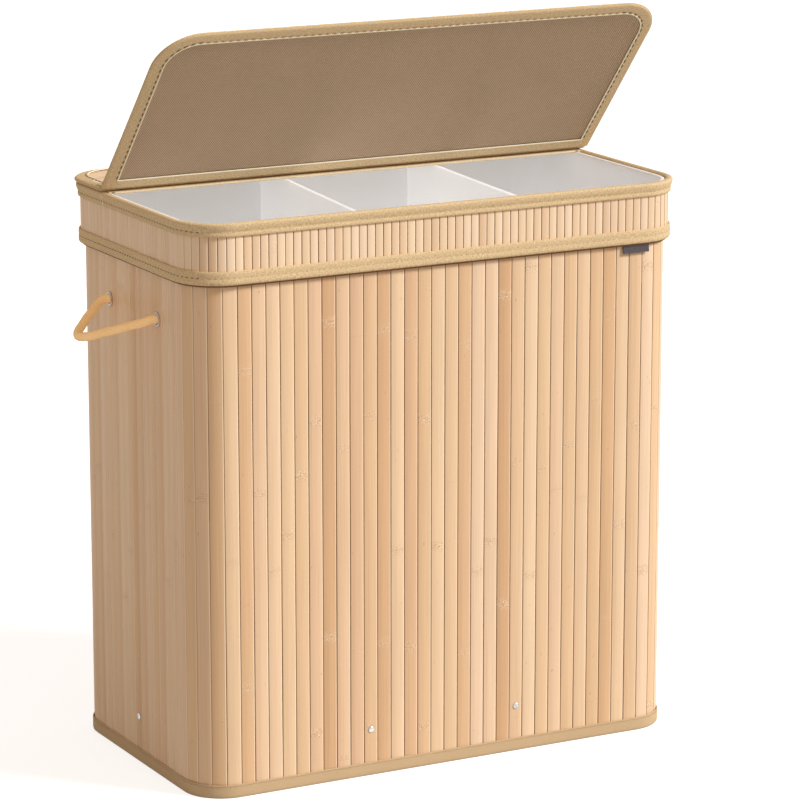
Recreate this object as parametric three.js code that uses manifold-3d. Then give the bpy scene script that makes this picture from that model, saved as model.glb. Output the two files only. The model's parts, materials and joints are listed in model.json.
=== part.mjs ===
// A folding bamboo laundry hamper with a three-bin cloth liner and a lift-off lid.
// Millimetres, +Z up, +X to the right, front towards -Y, origin on the floor under the middle of the body.
import * as THREE from "three";
import { mergeVertices } from "three/addons/utils/BufferGeometryUtils.js";
import Module from "manifold-3d";

const wasm = await Module();
wasm.setup();

// Clearances
const pieceGap = 0.3; // between pieces that touch
const cutOverrun = 4; // how far a cutter runs past what it cuts
const mergeTolerance = 1e-4; // points nearer than this are one point

// Body: a ring of bamboo slats glued to a cloth backing
const bodyWidth = 610;
const bodyDepth = 335;
const bodyCornerRadius = 47;
const matThickness = 2.5;
const slatPitch = 17;
const slatGrooveWidth = 1.4;
const slatGrooveDepth = 1.1;
const rimHeight = 652; // top of the lid's collar above the floor
const bodyTopDrop = 12; // the body mat ends this far under the rim
const bindingHeight = 16;
const bindingTape = 0.9; // doubled tape of the body's lower and the collar's bindings
const bodyTopTape = 0.6; // thinner tape under the collar

// Floor board with four turned-up flaps, riveted to the body
const floorBoardThickness = 4;
const floorFlapThickness = 3;
const floorFlapHeight = 60;
const rivetDrop = 11.5; // of the rivets under the floor flaps' tops
const frontRivetSpacing = 188;
const rivetHeadRadius = 3.6;
const rivetHeadHeight = 1.4;
const rivetShankRadius = 1.6;
const rivetTailRadius = 3;
const rivetTailHeight = 0.8;
const rivetRimShare = 1 / 3; // of the head's height, where its dome starts
const rivetCrownRadiusShare = 0.7;
const rivetCrownHeightShare = 0.8;
const washerRadius = 5;
const washerThickness = 1;

// Cloth liner with two dividers
const linerCloth = 1;
const linerHemThickness = 1.5;
const linerHemHeight = 30;
const linerTopDrop = 3; // the hem ends this far under the rim
const linerTailClearance = 0.8; // between the liner and the rivets' tails
const linerFlapClearance = 4; // from the floor flaps' tops up to where the liner starts to widen
const dividerThickness = 2;
const dividerTopDrop = 6;
const middleBinShare = 0.33443; // of the body's width, from divider to divider

// Lid collar: narrow slats on cloth, bound at both edges, with a wire hoop in the upper hem
const collarClearance = 3; // from the body's slats to the collar's backing
const collarMatThickness = 2.2;
const collarHeight = 69.5;
const collarSlatPitch = 10;
const collarGrooveWidth = 1;
const collarGrooveDepth = 0.9;
const rimWireRadius = 1.6;
const hemSlack = 0.1; // more room in the hem beside the wire

// Lid plates: a rear strip that is sewn to the collar, and the flap hinged to it
const hingeFromMiddle = 62; // hinge line behind the middle of the body
const plateSideInset = 1; // plates end this far inside the collar's widest part
const flapFrontOverhang = 16;
const flapCornerRadius = 51;
const plateTape = 0.7;
const plateLining = 0.5;
const plateCore = 1.6;
const plateSlats = 1.5;
const plateSlatPitch = 10;
const plateGrooveWidth = 1;
const plateGrooveDepth = 0.8;
const hingeCloth = 0.5;
const hingeClothWidth = 14; // on each side of the hinge line
const hingeHalfGap = 0.3; // each plate's edge stays this far off the hinge line
const foldClearance = 0.15; // from the hinge cloth's top face up to the hinge line
const flapOpenAngle = THREE.MathUtils.degToRad(48.5); // as the photograph shows it, from closed

// Rope handles
const ropeRadius = 5;
const ropeHoleSpacing = 128;
const ropeDrop = 123; // of the rope's holes under the rim
const ropeHoleRadius = 5.6;
const eyeletBarrelWall = 1;
const eyeletFlangeRadius = 8.5;
const eyeletFlangeThickness = 1.2;
const eyeletBarrelTail = 1.6; // barrel past the inside of the mat
const eyeletRimShare = 0.5; // of the flange's thickness, at its outer edge
const ropeStubOut = 1; // rope end past the eyelet's flange
const knotRadius = 9;
const knotHalfLength = 6.5;
const knotClearance = 2.5; // from the knot to the liner's bulge over it
const ropeDroop = THREE.MathUtils.degToRad(19); // the loops stand out and hang a little
// Half of a loop from one eyelet to the middle: out from the hinge line, along the wall, sag
const ropeHalfLoop = [
  [0, 64, 0],
  [10, 63.4, -0.2],
  [20, 60, -0.8],
  [30, 53.5, -1.7],
  [40, 44.5, -2.8],
  [49.5, 32.5, -4],
  [56, 17, -4.8],
  [58, 0, -5.2],
];

// Blank woven tag under the collar, near the right-hand end of the front
const tagWidth = 34;
const tagHeight = 10.5;
const tagFromEnd = 59; // from the body's right-hand end to the tag's middle

// Counts of facets
const cornerSteps = 9;
const plateCornerSteps = 5;
const roundSides = 10;
const ropeSides = 8;
const ropeSteps = 26;

// Levels and offsets that follow from the sizes. Offsets are outward from the body's outer face.
const bodyBottom = bindingTape + pieceGap;
const bodyTop = rimHeight - bodyTopDrop;
const matInside = -matThickness;
const floorTop = bodyBottom + floorBoardThickness;
const rivetHeight = floorTop + pieceGap + floorFlapHeight - rivetDrop;
const ropeHeight = rimHeight - ropeDrop;
const dividerSpacing = bodyWidth * middleBinShare;
const floorOffset = matInside - 2 * pieceGap - bindingTape;
const washerOffset = floorOffset - floorFlapThickness - pieceGap;
const tailOffset = washerOffset - washerThickness - pieceGap;
const tailEnd = tailOffset - rivetTailHeight;
const shankHoleRadius = rivetShankRadius + pieceGap;
const linerHemOffset = matInside - 2 * pieceGap - bodyTopTape;
const linerHemInside = linerHemOffset - linerHemThickness;
const linerTop = rimHeight - linerTopDrop;
const linerHemBottom = linerTop - linerHemHeight;
const linerBottom = floorTop + pieceGap;
const linerKnee = floorTop + floorFlapHeight + linerFlapClearance;
const linerLowOffset = tailEnd - linerTailClearance;
const linerLowInside = linerLowOffset - linerCloth;
const collarInside = collarClearance;
const collarOutside = collarInside + collarMatThickness;
const collarBottom = rimHeight - collarHeight;
const wireOffset = collarOutside + pieceGap + rimWireRadius;
const wireHeight = rimHeight - bindingTape - pieceGap - rimWireRadius;
const hemInside = wireOffset + rimWireRadius + pieceGap + hemSlack;
const hemOutside = hemInside + bindingTape;
const plateBottom = rimHeight + pieceGap;
const plateHalfWidth = bodyWidth / 2 + hemOutside - plateSideInset;
const plateBack = bodyDepth / 2 + hemOutside - plateSideInset;
const stripCornerRadius = bodyCornerRadius + hemOutside - plateSideInset;
const flapLength = hingeFromMiddle + bodyDepth / 2 + hemOutside + flapFrontOverhang;
const liningLevel = plateTape + pieceGap;
const coreLevel = liningLevel + plateLining + pieceGap;
const slatLevel = coreLevel + plateCore + pieceGap;
const plateThickness = slatLevel + plateSlats + pieceGap + plateTape;
const hingeAbovePlate = pieceGap + hingeCloth + foldClearance;
const hingeHeight = plateBottom + plateThickness + hingeAbovePlate;
const eyeletOffset = pieceGap + eyeletFlangeThickness;
const ropeHingeOffset = eyeletOffset + ropeStubOut + pieceGap + ropeRadius;

// Materials
const material = (color, roughness, metalness = 0) =>
  new THREE.MeshStandardMaterial({ color, roughness, metalness });
const bamboo = material(0xdcb98a, 0.55);
const linenTape = material(0xb79c66, 0.9);
const smoothTape = material(0xc9a56c, 0.8);
const board = material(0x9a7b52, 0.85);
const liningCloth = material(0x9d8263, 0.9);
const linerWhite = material(0xe9e8e6, 0.9);
const rope = material(0xdcb078, 0.9);
const metal = material(0xc9ccd0, 0.3, 1);
const steelWire = material(0x8d9094, 0.45, 1);
const tagCloth = material(0x34323a, 0.85);

// A closed geometry as a solid that can be joined and cut, with its faces pointing out.
function solid(geometry) {
  const plain = geometry.index ? geometry.toNonIndexed() : geometry.clone();
  plain.deleteAttribute("normal");
  plain.deleteAttribute("uv");
  const merged = mergeVertices(plain, mergeTolerance);
  const index = Array.from(merged.index.array);
  const faces = [];
  for (let i = 0; i < index.length; i += 3) {
    const [a, b, c] = index.slice(i, i + 3);
    if (a !== b && b !== c && c !== a) faces.push(a, b, c);
  }
  const made = (triangles) =>
    new wasm.Manifold(
      new wasm.Mesh({
        numProp: 3,
        vertProperties: merged.attributes.position.array,
        triVerts: new Uint32Array(triangles),
      }),
    );
  const body = made(faces);
  return body.volume() < 0 ? made(faces.slice().reverse()) : body;
}

// A solid as a three.js geometry.
function geometryOf(body) {
  const mesh = body.getMesh();
  const points = new Float32Array(mesh.numVert * 3);
  for (let i = 0; i < mesh.numVert; i++)
    points.set(mesh.vertProperties.subarray(i * mesh.numProp, i * mesh.numProp + 3), i * 3);
  const geometry = new THREE.BufferGeometry();
  geometry.setAttribute("position", new THREE.BufferAttribute(points, 3));
  geometry.setIndex(new THREE.BufferAttribute(new Uint32Array(mesh.triVerts), 1));
  geometry.computeVertexNormals();
  return geometry;
}

const hamper = new THREE.Group();

function add(name, body, surface, group = hamper) {
  const mesh = new THREE.Mesh(geometryOf(body), surface.clone());
  mesh.name = name;
  group.add(mesh);
  return mesh;
}

// The rounded rectangle at an offset outward from the body's outer face, counter-clockwise from the
// front's middle.
function ringPath(offset) {
  const x = bodyWidth / 2 + offset;
  const y = bodyDepth / 2 + offset;
  const r = bodyCornerRadius + offset;
  const quarter = Math.PI / 2;
  const path = new THREE.Path();
  path.moveTo(0, -y);
  path.lineTo(x - r, -y);
  path.absarc(x - r, r - y, r, -quarter, 0, false);
  path.lineTo(x, y - r);
  path.absarc(x - r, y - r, r, 0, quarter, false);
  path.lineTo(r - x, y);
  path.absarc(r - x, y - r, r, quarter, 2 * quarter, false);
  path.lineTo(-x, r - y);
  path.absarc(r - x, r - y, r, 2 * quarter, 3 * quarter, false);
  path.lineTo(0, -y);
  return path;
}

// The same outline as points, with the same number of points at every offset.
function ringPoints(offset) {
  const x = bodyWidth / 2 + offset;
  const y = bodyDepth / 2 + offset;
  const r = bodyCornerRadius + offset;
  const centres = [
    [x - r, r - y],
    [x - r, y - r],
    [r - x, y - r],
    [r - x, r - y],
  ];
  return centres.flatMap(([cx, cy], corner) =>
    Array.from({ length: cornerSteps + 1 }, (_, step) => {
      const angle = (Math.PI / 2) * (corner - 1 + step / cornerSteps);
      return new THREE.Vector2(cx + r * Math.cos(angle), cy + r * Math.sin(angle));
    }),
  );
}

// A hoop round the body: a closed section of [offset, height] points, counter-clockwise, swept round
// the outline.
function hoop(section) {
  const rings = section.map(([offset, height]) =>
    ringPoints(offset).map((p) => new THREE.Vector3(p.x, p.y, height)),
  );
  const count = rings[0].length;
  const corners = [];
  rings.forEach((ring, i) => {
    const next = rings[(i + 1) % rings.length];
    for (let j = 0; j < count; j++) {
      const k = (j + 1) % count;
      corners.push(ring[j], ring[k], next[k], ring[j], next[k], next[j]);
    }
  });
  return solid(new THREE.BufferGeometry().setFromPoints(corners));
}

// A flat outline given a thickness, from the height low up.
function slab(shape, low, thickness) {
  const geometry = new THREE.ExtrudeGeometry(shape, {
    depth: thickness,
    bevelEnabled: false,
    curveSegments: plateCornerSteps,
  });
  geometry.translate(0, 0, low);
  return solid(geometry);
}

// A ring of flat slats side by side, with a groove between each two, on a smooth inside.
function slatRing(outside, inside, pitch, grooveWidth, grooveDepth, low, high) {
  const path = ringPath(outside);
  const length = path.getLength();
  const count = Math.round(length / pitch);
  const half = grooveWidth / 2 / length;
  const points = [];
  for (let i = 0; i < count; i++) {
    const tangent = path.getTangent((i + 1) / count - half);
    const groove = path.getPoint(((i + 1) / count) % 1);
    points.push(path.getPoint(i / count + half));
    points.push(path.getPoint((i + 1) / count - half));
    points.push(groove.add(new THREE.Vector2(-tangent.y, tangent.x).multiplyScalar(grooveDepth)));
  }
  const shape = new THREE.Shape(points);
  shape.holes.push(new THREE.Path(ringPoints(inside)));
  return slab(shape, low, high - low);
}

// A tape folded over the edge of a mat: two legs and the fold between them.
function foldedTape(inside, outside, tape, edge, legs) {
  const up = legs > edge;
  const bed = up ? edge + tape : edge - tape;
  const section = [
    [inside - pieceGap - tape, edge],
    [outside + pieceGap + tape, edge],
    [outside + pieceGap + tape, legs],
    [outside + pieceGap, legs],
    [outside + pieceGap, bed],
    [inside - pieceGap, bed],
    [inside - pieceGap, legs],
    [inside - pieceGap - tape, legs],
  ];
  return hoop(up ? section : section.reverse());
}

// A turned piece, its axis square to the wall: [radius, offset] points, moved to a place on a wall.
function turned(section, place) {
  const points = section.map(([radius, out]) => new THREE.Vector2(radius, out));
  const geometry = new THREE.LatheGeometry(points, roundSides);
  return solid(onWall(geometry, place));
}

// The four walls, each by the direction it faces and how far out its outer face is.
const walls = {
  front: { turn: -Math.PI / 2, out: bodyDepth / 2 },
  back: { turn: Math.PI / 2, out: bodyDepth / 2 },
  left: { turn: Math.PI, out: bodyWidth / 2 },
  right: { turn: 0, out: bodyWidth / 2 },
};

// Turns a geometry whose +Y points out of a wall to face along the named wall, at a place along and up it.
function onWall(geometry, { wall, along, height }) {
  const { turn, out } = walls[wall];
  geometry.rotateZ(-Math.PI / 2);
  geometry.translate(out, 0, 0);
  geometry.rotateZ(turn);
  const sideways = wall === "front" || wall === "back";
  geometry.translate(sideways ? along : 0, sideways ? 0 : along, height);
  return geometry;
}

// A plain round cutter through a wall.
function wallHole(radius, place) {
  const reach = matThickness + floorFlapThickness + cutOverrun;
  const geometry = new THREE.CylinderGeometry(radius, radius, 2 * reach, roundSides);
  return solid(onWall(geometry, place));
}

// Places of the rivets and of the rope's eyelets
const rivetPlaces = {
  front_left_rivet: { wall: "front", along: -frontRivetSpacing / 2, height: rivetHeight },
  front_right_rivet: { wall: "front", along: frontRivetSpacing / 2, height: rivetHeight },
  back_left_rivet: { wall: "back", along: -frontRivetSpacing / 2, height: rivetHeight },
  back_right_rivet: { wall: "back", along: frontRivetSpacing / 2, height: rivetHeight },
  left_rivet: { wall: "left", along: 0, height: rivetHeight },
  right_rivet: { wall: "right", along: 0, height: rivetHeight },
};
const eyeletPlaces = {
  left_front: { wall: "left", along: -ropeHoleSpacing / 2, height: ropeHeight },
  left_back: { wall: "left", along: ropeHoleSpacing / 2, height: ropeHeight },
  right_front: { wall: "right", along: -ropeHoleSpacing / 2, height: ropeHeight },
  right_back: { wall: "right", along: ropeHoleSpacing / 2, height: ropeHeight },
};

// Body mat with its rivet and eyelet holes
const eyeletBarrelRadius = ropeHoleRadius + eyeletBarrelWall;
let bodyMat = slatRing(0, matInside, slatPitch, slatGrooveWidth, slatGrooveDepth, bodyBottom, bodyTop);
for (const place of Object.values(rivetPlaces))
  bodyMat = bodyMat.subtract(wallHole(shankHoleRadius, place));
for (const place of Object.values(eyeletPlaces))
  bodyMat = bodyMat.subtract(wallHole(eyeletBarrelRadius + pieceGap, place));
add("body_mat", bodyMat, bamboo);
add("body_bottom_binding", foldedTape(matInside, 0, bindingTape, 0, bindingHeight), smoothTape);
const bodyTopEdge = bodyTop + pieceGap + bodyTopTape;
add(
  "body_top_binding",
  foldedTape(matInside, 0, bodyTopTape, bodyTopEdge, bodyTopEdge - bindingHeight),
  linenTape,
);

// Floor board, and the four flaps that stand up from it inside the walls
add("floor_board", slab(new THREE.Shape(ringPoints(floorOffset)), bodyBottom, floorBoardThickness), board);
for (const wall of Object.keys(walls)) {
  const sideways = wall === "front" || wall === "back";
  const length = (sideways ? bodyWidth : bodyDepth) - 2 * bodyCornerRadius;
  const middle = floorOffset - floorFlapThickness / 2;
  const geometry = new THREE.BoxGeometry(length, floorFlapThickness, floorFlapHeight);
  geometry.translate(0, middle, 0);
  const height = floorTop + pieceGap + floorFlapHeight / 2;
  let flap = solid(onWall(geometry, { wall, along: 0, height }));
  for (const place of Object.values(rivetPlaces).filter((p) => p.wall === wall))
    flap = flap.subtract(wallHole(shankHoleRadius, place));
  add(wall + "_floor_flap", flap, board);
}

// Rivets through the wall and the floor flaps, each with a washer under its tail
const rivetSection = [
  [0, tailEnd],
  [rivetTailRadius, tailEnd],
  [rivetTailRadius, tailOffset],
  [rivetShankRadius, tailOffset],
  [rivetShankRadius, pieceGap],
  [rivetHeadRadius, pieceGap],
  [rivetHeadRadius, pieceGap + rivetHeadHeight * rivetRimShare],
  [rivetHeadRadius * rivetCrownRadiusShare, pieceGap + rivetHeadHeight * rivetCrownHeightShare],
  [0, pieceGap + rivetHeadHeight],
];
const washerSection = [
  [shankHoleRadius, washerOffset - washerThickness],
  [washerRadius, washerOffset - washerThickness],
  [washerRadius, washerOffset],
  [shankHoleRadius, washerOffset],
  [shankHoleRadius, washerOffset - washerThickness],
];
for (const [name, place] of Object.entries(rivetPlaces)) {
  add(name, turned(rivetSection, place), metal);
  add(name + "_washer", turned(washerSection, place), metal);
}

// Eyelets for the rope: a flanged barrel and the ring it is set into
const barrelEnd = matInside - eyeletBarrelTail;
const eyeletSection = [
  [ropeHoleRadius, barrelEnd],
  [eyeletBarrelRadius, barrelEnd],
  [eyeletBarrelRadius, pieceGap],
  [eyeletFlangeRadius, pieceGap],
  [eyeletFlangeRadius, pieceGap + eyeletFlangeThickness * eyeletRimShare],
  [eyeletBarrelRadius, eyeletOffset],
  [ropeHoleRadius, eyeletOffset],
  [ropeHoleRadius, barrelEnd],
];
const backingFace = matInside - pieceGap;
const backingSection = [
  [eyeletBarrelRadius + pieceGap, backingFace - washerThickness],
  [eyeletFlangeRadius, backingFace - washerThickness],
  [eyeletFlangeRadius, backingFace],
  [eyeletBarrelRadius + pieceGap, backingFace],
  [eyeletBarrelRadius + pieceGap, backingFace - washerThickness],
];

// Rope ends: a stub through each eyelet with a knot behind it
const knotFace = Math.min(barrelEnd, backingFace - washerThickness) - pieceGap;
const knotMiddle = knotFace - knotHalfLength;
const stubEnd = eyeletOffset + ropeStubOut;
for (const [name, place] of Object.entries(eyeletPlaces)) {
  add(name + "_eyelet", turned(eyeletSection, place), metal);
  add(name + "_eyelet_ring", turned(backingSection, place), metal);
  const stub = new THREE.CylinderGeometry(ropeRadius, ropeRadius, stubEnd - knotMiddle, roundSides);
  stub.translate(0, (stubEnd + knotMiddle) / 2, 0);
  const knot = new THREE.SphereGeometry(knotRadius, roundSides, roundSides / 2);
  knot.scale(1, knotHalfLength / knotRadius, 1);
  knot.translate(0, knotMiddle, 0);
  const end = solid(onWall(stub, place)).add(solid(onWall(knot, place)));
  add(name + "_rope_knot", end, rope);
}

// Liner: one cloth bag with a hem at the rim, bulged over each knot, a floor and two dividers
let linerWall = hoop([
  [linerHemOffset, linerTop],
  [linerHemInside, linerTop],
  [linerHemInside, linerHemBottom],
  [linerLowInside, linerKnee],
  [linerLowInside, linerBottom],
  [linerLowOffset, linerBottom],
  [linerLowOffset, linerKnee],
  [linerHemOffset, linerHemBottom],
]);
const hangShare = (linerHemBottom - ropeHeight) / (linerHemBottom - linerKnee);
const linerAtKnot = THREE.MathUtils.lerp(linerHemOffset, linerLowOffset, hangShare) - linerCloth / 2;
const bulgeRadius = knotRadius + knotClearance;
for (const place of Object.values(eyeletPlaces)) {
  const ball = (radius) => {
    const geometry = new THREE.SphereGeometry(radius, roundSides, roundSides / 2);
    geometry.translate(0, knotMiddle, 0);
    return solid(onWall(geometry, place));
  };
  const side = 2 * (bulgeRadius + cutOverrun);
  const inward = new THREE.BoxGeometry(side, side, side);
  inward.translate(0, linerAtKnot - side / 2, 0);
  const bulge = ball(bulgeRadius + linerCloth).intersect(solid(onWall(inward, place)));
  linerWall = linerWall.add(bulge).subtract(ball(bulgeRadius));
}
add("liner_wall", linerWall, linerWhite);
const linerFloorOffset = linerLowInside - pieceGap;
add(
  "liner_floor",
  slab(new THREE.Shape(ringPoints(linerFloorOffset)), linerBottom, linerCloth),
  linerWhite,
);
const dividerTop = rimHeight - dividerTopDrop;
const dividerBottom = linerBottom + linerCloth + pieceGap;
const hemReach = bodyDepth / 2 + linerHemInside - pieceGap;
const lowReach = bodyDepth / 2 + linerLowInside - pieceGap;
for (const [name, side] of Object.entries({ liner_divider_left: -1, liner_divider_right: 1 })) {
  const outline = new THREE.Shape([
    new THREE.Vector2(-lowReach, dividerBottom),
    new THREE.Vector2(lowReach, dividerBottom),
    new THREE.Vector2(lowReach, linerKnee),
    new THREE.Vector2(hemReach, linerHemBottom),
    new THREE.Vector2(hemReach, dividerTop),
    new THREE.Vector2(-hemReach, dividerTop),
    new THREE.Vector2(-hemReach, linerHemBottom),
    new THREE.Vector2(-lowReach, linerKnee),
  ]);
  const geometry = new THREE.ExtrudeGeometry(outline, { depth: dividerThickness, bevelEnabled: false });
  geometry.rotateX(Math.PI / 2);
  geometry.rotateZ(Math.PI / 2);
  geometry.translate((side * dividerSpacing - dividerThickness) / 2, 0, 0);
  add(name, solid(geometry), linerWhite);
}

// Lid collar: slats, lower binding, wire hoop and upper binding
const collarMatTop = rimHeight - bindingTape - pieceGap;
const collarMatBottom = collarBottom + bindingTape + pieceGap;
add(
  "collar_mat",
  slatRing(
    collarOutside,
    collarInside,
    collarSlatPitch,
    collarGrooveWidth,
    collarGrooveDepth,
    collarMatBottom,
    collarMatTop,
  ),
  bamboo,
);
add(
  "collar_bottom_binding",
  foldedTape(collarInside, collarOutside, bindingTape, collarBottom, collarBottom + bindingHeight),
  linenTape,
);
const wireSection = Array.from({ length: ropeSides }, (_, i) => {
  const angle = (2 * Math.PI * (i + 0.5)) / ropeSides;
  return [wireOffset + rimWireRadius * Math.cos(angle), wireHeight + rimWireRadius * Math.sin(angle)];
});
add("collar_rim_wire", hoop(wireSection), steelWire);
const legEnd = rimHeight - bindingHeight;
const hemLow = wireHeight - rimWireRadius - pieceGap;
add(
  "collar_top_binding",
  hoop([
    [collarInside - pieceGap - bindingTape, legEnd],
    [collarInside - pieceGap, legEnd],
    [collarInside - pieceGap, rimHeight - bindingTape],
    [hemInside, rimHeight - bindingTape],
    [hemInside, hemLow],
    [collarOutside + pieceGap, hemLow - bindingTape],
    [collarOutside + pieceGap, legEnd],
    [collarOutside + pieceGap + bindingTape, legEnd],
    [hemOutside, hemLow - bindingTape],
    [hemOutside, rimHeight - bindingTape],
    [hemOutside - bindingTape, rimHeight],
    [collarInside - pieceGap - bindingTape, rimHeight],
  ]),
  linenTape,
);
const tagFace = bodyDepth / 2 + collarInside - pieceGap - bindingTape / 2;
const tag = new THREE.BoxGeometry(tagWidth, bindingTape, tagHeight);
tag.translate(bodyWidth / 2 - tagFromEnd, -tagFace, collarBottom - pieceGap - tagHeight / 2);
add("woven_tag", solid(tag), tagCloth);

// The outline of a lid plate from the hinge line to its far edge, with that edge's corners rounded.
function plateOutline(near, far, radius, inset) {
  const away = Math.sign(far - near);
  const x = plateHalfWidth - inset;
  const start = near + away * inset;
  const end = far - away * inset;
  const r = radius - inset;
  const clockwise = away < 0;
  const shape = new THREE.Shape();
  shape.moveTo(x, start);
  shape.lineTo(x, end - away * r);
  shape.absarc(x - r, end - away * r, r, 0, (away * Math.PI) / 2, clockwise);
  shape.lineTo(r - x, end);
  shape.absarc(r - x, end - away * r, r, (away * Math.PI) / 2, Math.PI * away, clockwise);
  shape.lineTo(-x, start);
  return shape;
}

// The pieces of one lid plate, from its underside up: lining, core, slats, and the tape bound round them.
function lidPlate(name, near, far, radius, low, group) {
  const outline = (inset) => plateOutline(near, far, radius, inset);
  const inner = plateTape + pieceGap;
  const level = (height) => low + height;
  add(name + "_lining", slab(outline(inner), level(liningLevel), plateLining), liningCloth, group);
  add(name + "_core", slab(outline(inner), level(coreLevel), plateCore), board, group);
  const reach = Math.abs(far - near);
  const count = Math.round(reach / plateSlatPitch);
  const pitch = reach / count;
  const start = Math.min(near, far);
  const section = [new THREE.Vector2(start, 0), new THREE.Vector2(start + reach, 0)];
  for (let i = count; i > 0; i--) {
    section.push(new THREE.Vector2(start + i * pitch - plateGrooveWidth / 2, plateSlats));
    section.push(new THREE.Vector2(start + (i - 1) * pitch + plateGrooveWidth / 2, plateSlats));
    if (i > 1)
      section.push(new THREE.Vector2(start + (i - 1) * pitch, plateSlats - plateGrooveDepth));
  }
  const width = 2 * plateHalfWidth;
  const comb = new THREE.ExtrudeGeometry(new THREE.Shape(section), { depth: width, bevelEnabled: false });
  comb.rotateX(Math.PI / 2);
  comb.rotateZ(Math.PI / 2);
  comb.translate(-width / 2, 0, level(slatLevel));
  const trimmed = solid(comb).intersect(slab(outline(inner), level(0), plateThickness));
  add(name + "_slats", trimmed, bamboo, group);
  const tape = slab(outline(0), level(0), plateThickness)
    .subtract(slab(outline(plateTape), level(plateTape), plateThickness - 2 * plateTape))
    .subtract(slab(outline(bindingHeight), level(-cutOverrun), plateThickness + 2 * cutOverrun));
  add(name + "_binding", tape, linenTape, group);
}

// Half of the cloth strip that carries the hinge, on top of a plate beside the hinge line.
function hingeClothHalf(name, near, away, top, group) {
  const geometry = new THREE.BoxGeometry(2 * (plateHalfWidth - plateTape), hingeClothWidth, hingeCloth);
  geometry.translate(0, near + (away * hingeClothWidth) / 2, top + pieceGap + hingeCloth / 2);
  add(name, solid(geometry), linenTape, group);
}

// Rear strip, sewn to the collar
const stripNear = hingeFromMiddle + hingeHalfGap;
lidPlate("rear_strip", stripNear, plateBack, stripCornerRadius, plateBottom, hamper);
hingeClothHalf(
  "hinge_cloth_rear_half",
  hingeFromMiddle + foldClearance,
  1,
  plateBottom + plateThickness,
  hamper,
);

// Flap, in a group at the hinge line, turned up as the photograph shows it
const flapGroup = new THREE.Group();
flapGroup.position.set(0, hingeFromMiddle, hingeHeight);
flapGroup.rotation.x = -flapOpenAngle;
hamper.add(flapGroup);
const flapBottom = plateBottom - hingeHeight;
lidPlate("flap", -hingeHalfGap, -flapLength, flapCornerRadius, flapBottom, flapGroup);
hingeClothHalf("hinge_cloth_flap_half", -foldClearance, -1, flapBottom + plateThickness, flapGroup);

// Rope loops, each in a group on the line through its two eyelets, where it swings
const loopPoints = [
  ...ropeHalfLoop.map(([out, along, sag]) => [out, -along, sag]),
  ...ropeHalfLoop.slice(0, -1).reverse(),
];
for (const [name, side] of Object.entries({ left_rope_handle: -1, right_rope_handle: 1 })) {
  const group = new THREE.Group();
  group.position.set(side * (bodyWidth / 2 + ropeHingeOffset), 0, ropeHeight);
  group.rotation.y = side * ropeDroop;
  hamper.add(group);
  const curve = new THREE.CatmullRomCurve3(
    loopPoints.map(([out, along, sag]) => new THREE.Vector3(side * out, along, sag)),
  );
  const section = new THREE.Shape();
  section.absarc(0, 0, ropeRadius, 0, 2 * Math.PI, false);
  const tube = new THREE.ExtrudeGeometry(section, {
    steps: ropeSteps,
    curveSegments: ropeSides / 2,
    extrudePath: curve,
    bevelEnabled: false,
  });
  let loop = solid(tube);
  for (const end of [loopPoints[0], loopPoints[loopPoints.length - 1]]) {
    const ball = new THREE.SphereGeometry(ropeRadius, ropeSides, ropeSides / 2);
    ball.translate(side * end[0], end[1], end[2]);
    loop = loop.add(solid(ball));
  }
  add(name, loop, rope, group);
}

export default hamper;
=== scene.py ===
import json
from itertools import accumulate
from math import atan2, cos, exp, hypot, pi, radians, sin, sqrt

import bmesh
import bpy
from mathutils import Matrix, Vector, noise


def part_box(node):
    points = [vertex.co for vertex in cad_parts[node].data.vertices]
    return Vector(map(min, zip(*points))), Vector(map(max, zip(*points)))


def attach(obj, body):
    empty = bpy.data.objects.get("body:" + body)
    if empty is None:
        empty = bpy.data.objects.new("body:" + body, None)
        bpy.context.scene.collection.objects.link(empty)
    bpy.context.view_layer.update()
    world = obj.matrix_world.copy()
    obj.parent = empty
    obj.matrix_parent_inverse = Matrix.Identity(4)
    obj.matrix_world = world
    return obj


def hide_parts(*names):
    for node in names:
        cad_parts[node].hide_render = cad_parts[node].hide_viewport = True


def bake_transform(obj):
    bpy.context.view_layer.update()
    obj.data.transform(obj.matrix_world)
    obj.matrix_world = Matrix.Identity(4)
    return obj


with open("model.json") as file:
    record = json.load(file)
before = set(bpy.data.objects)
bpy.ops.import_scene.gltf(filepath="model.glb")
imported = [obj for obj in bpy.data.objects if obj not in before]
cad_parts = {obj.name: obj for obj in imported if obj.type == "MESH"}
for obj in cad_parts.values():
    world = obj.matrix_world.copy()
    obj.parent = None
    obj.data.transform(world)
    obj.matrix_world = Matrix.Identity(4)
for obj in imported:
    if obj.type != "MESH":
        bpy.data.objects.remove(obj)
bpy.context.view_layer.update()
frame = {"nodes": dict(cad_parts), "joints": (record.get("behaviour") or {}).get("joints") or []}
scene = bpy.context.scene
scene.view_settings.view_transform = "Standard"

# Camera.
# It stands to the left of the hamper's front and a little above it, with a long lens.
camera_turn = radians(-28.05)
camera_pitch = radians(13.18)
camera_distance = 4.51417
camera_target = Vector((0.03205, 0, 0.38767))
camera_lens = 174.8


def towards(turn, height):
    """The way to what stands at a turn to the right of the front, and at a height, both as angles."""
    return Vector((sin(turn) * cos(height), -cos(turn) * cos(height), sin(height)))


to_camera = towards(camera_turn, camera_pitch)
bpy.ops.object.camera_add(
    location=camera_target + camera_distance * to_camera,
    rotation=to_camera.to_track_quat("Z", "Y").to_euler(),
)
scene.camera = bpy.context.object
scene.camera.data.lens = camera_lens
scene.camera.data.sensor_width = 36

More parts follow.
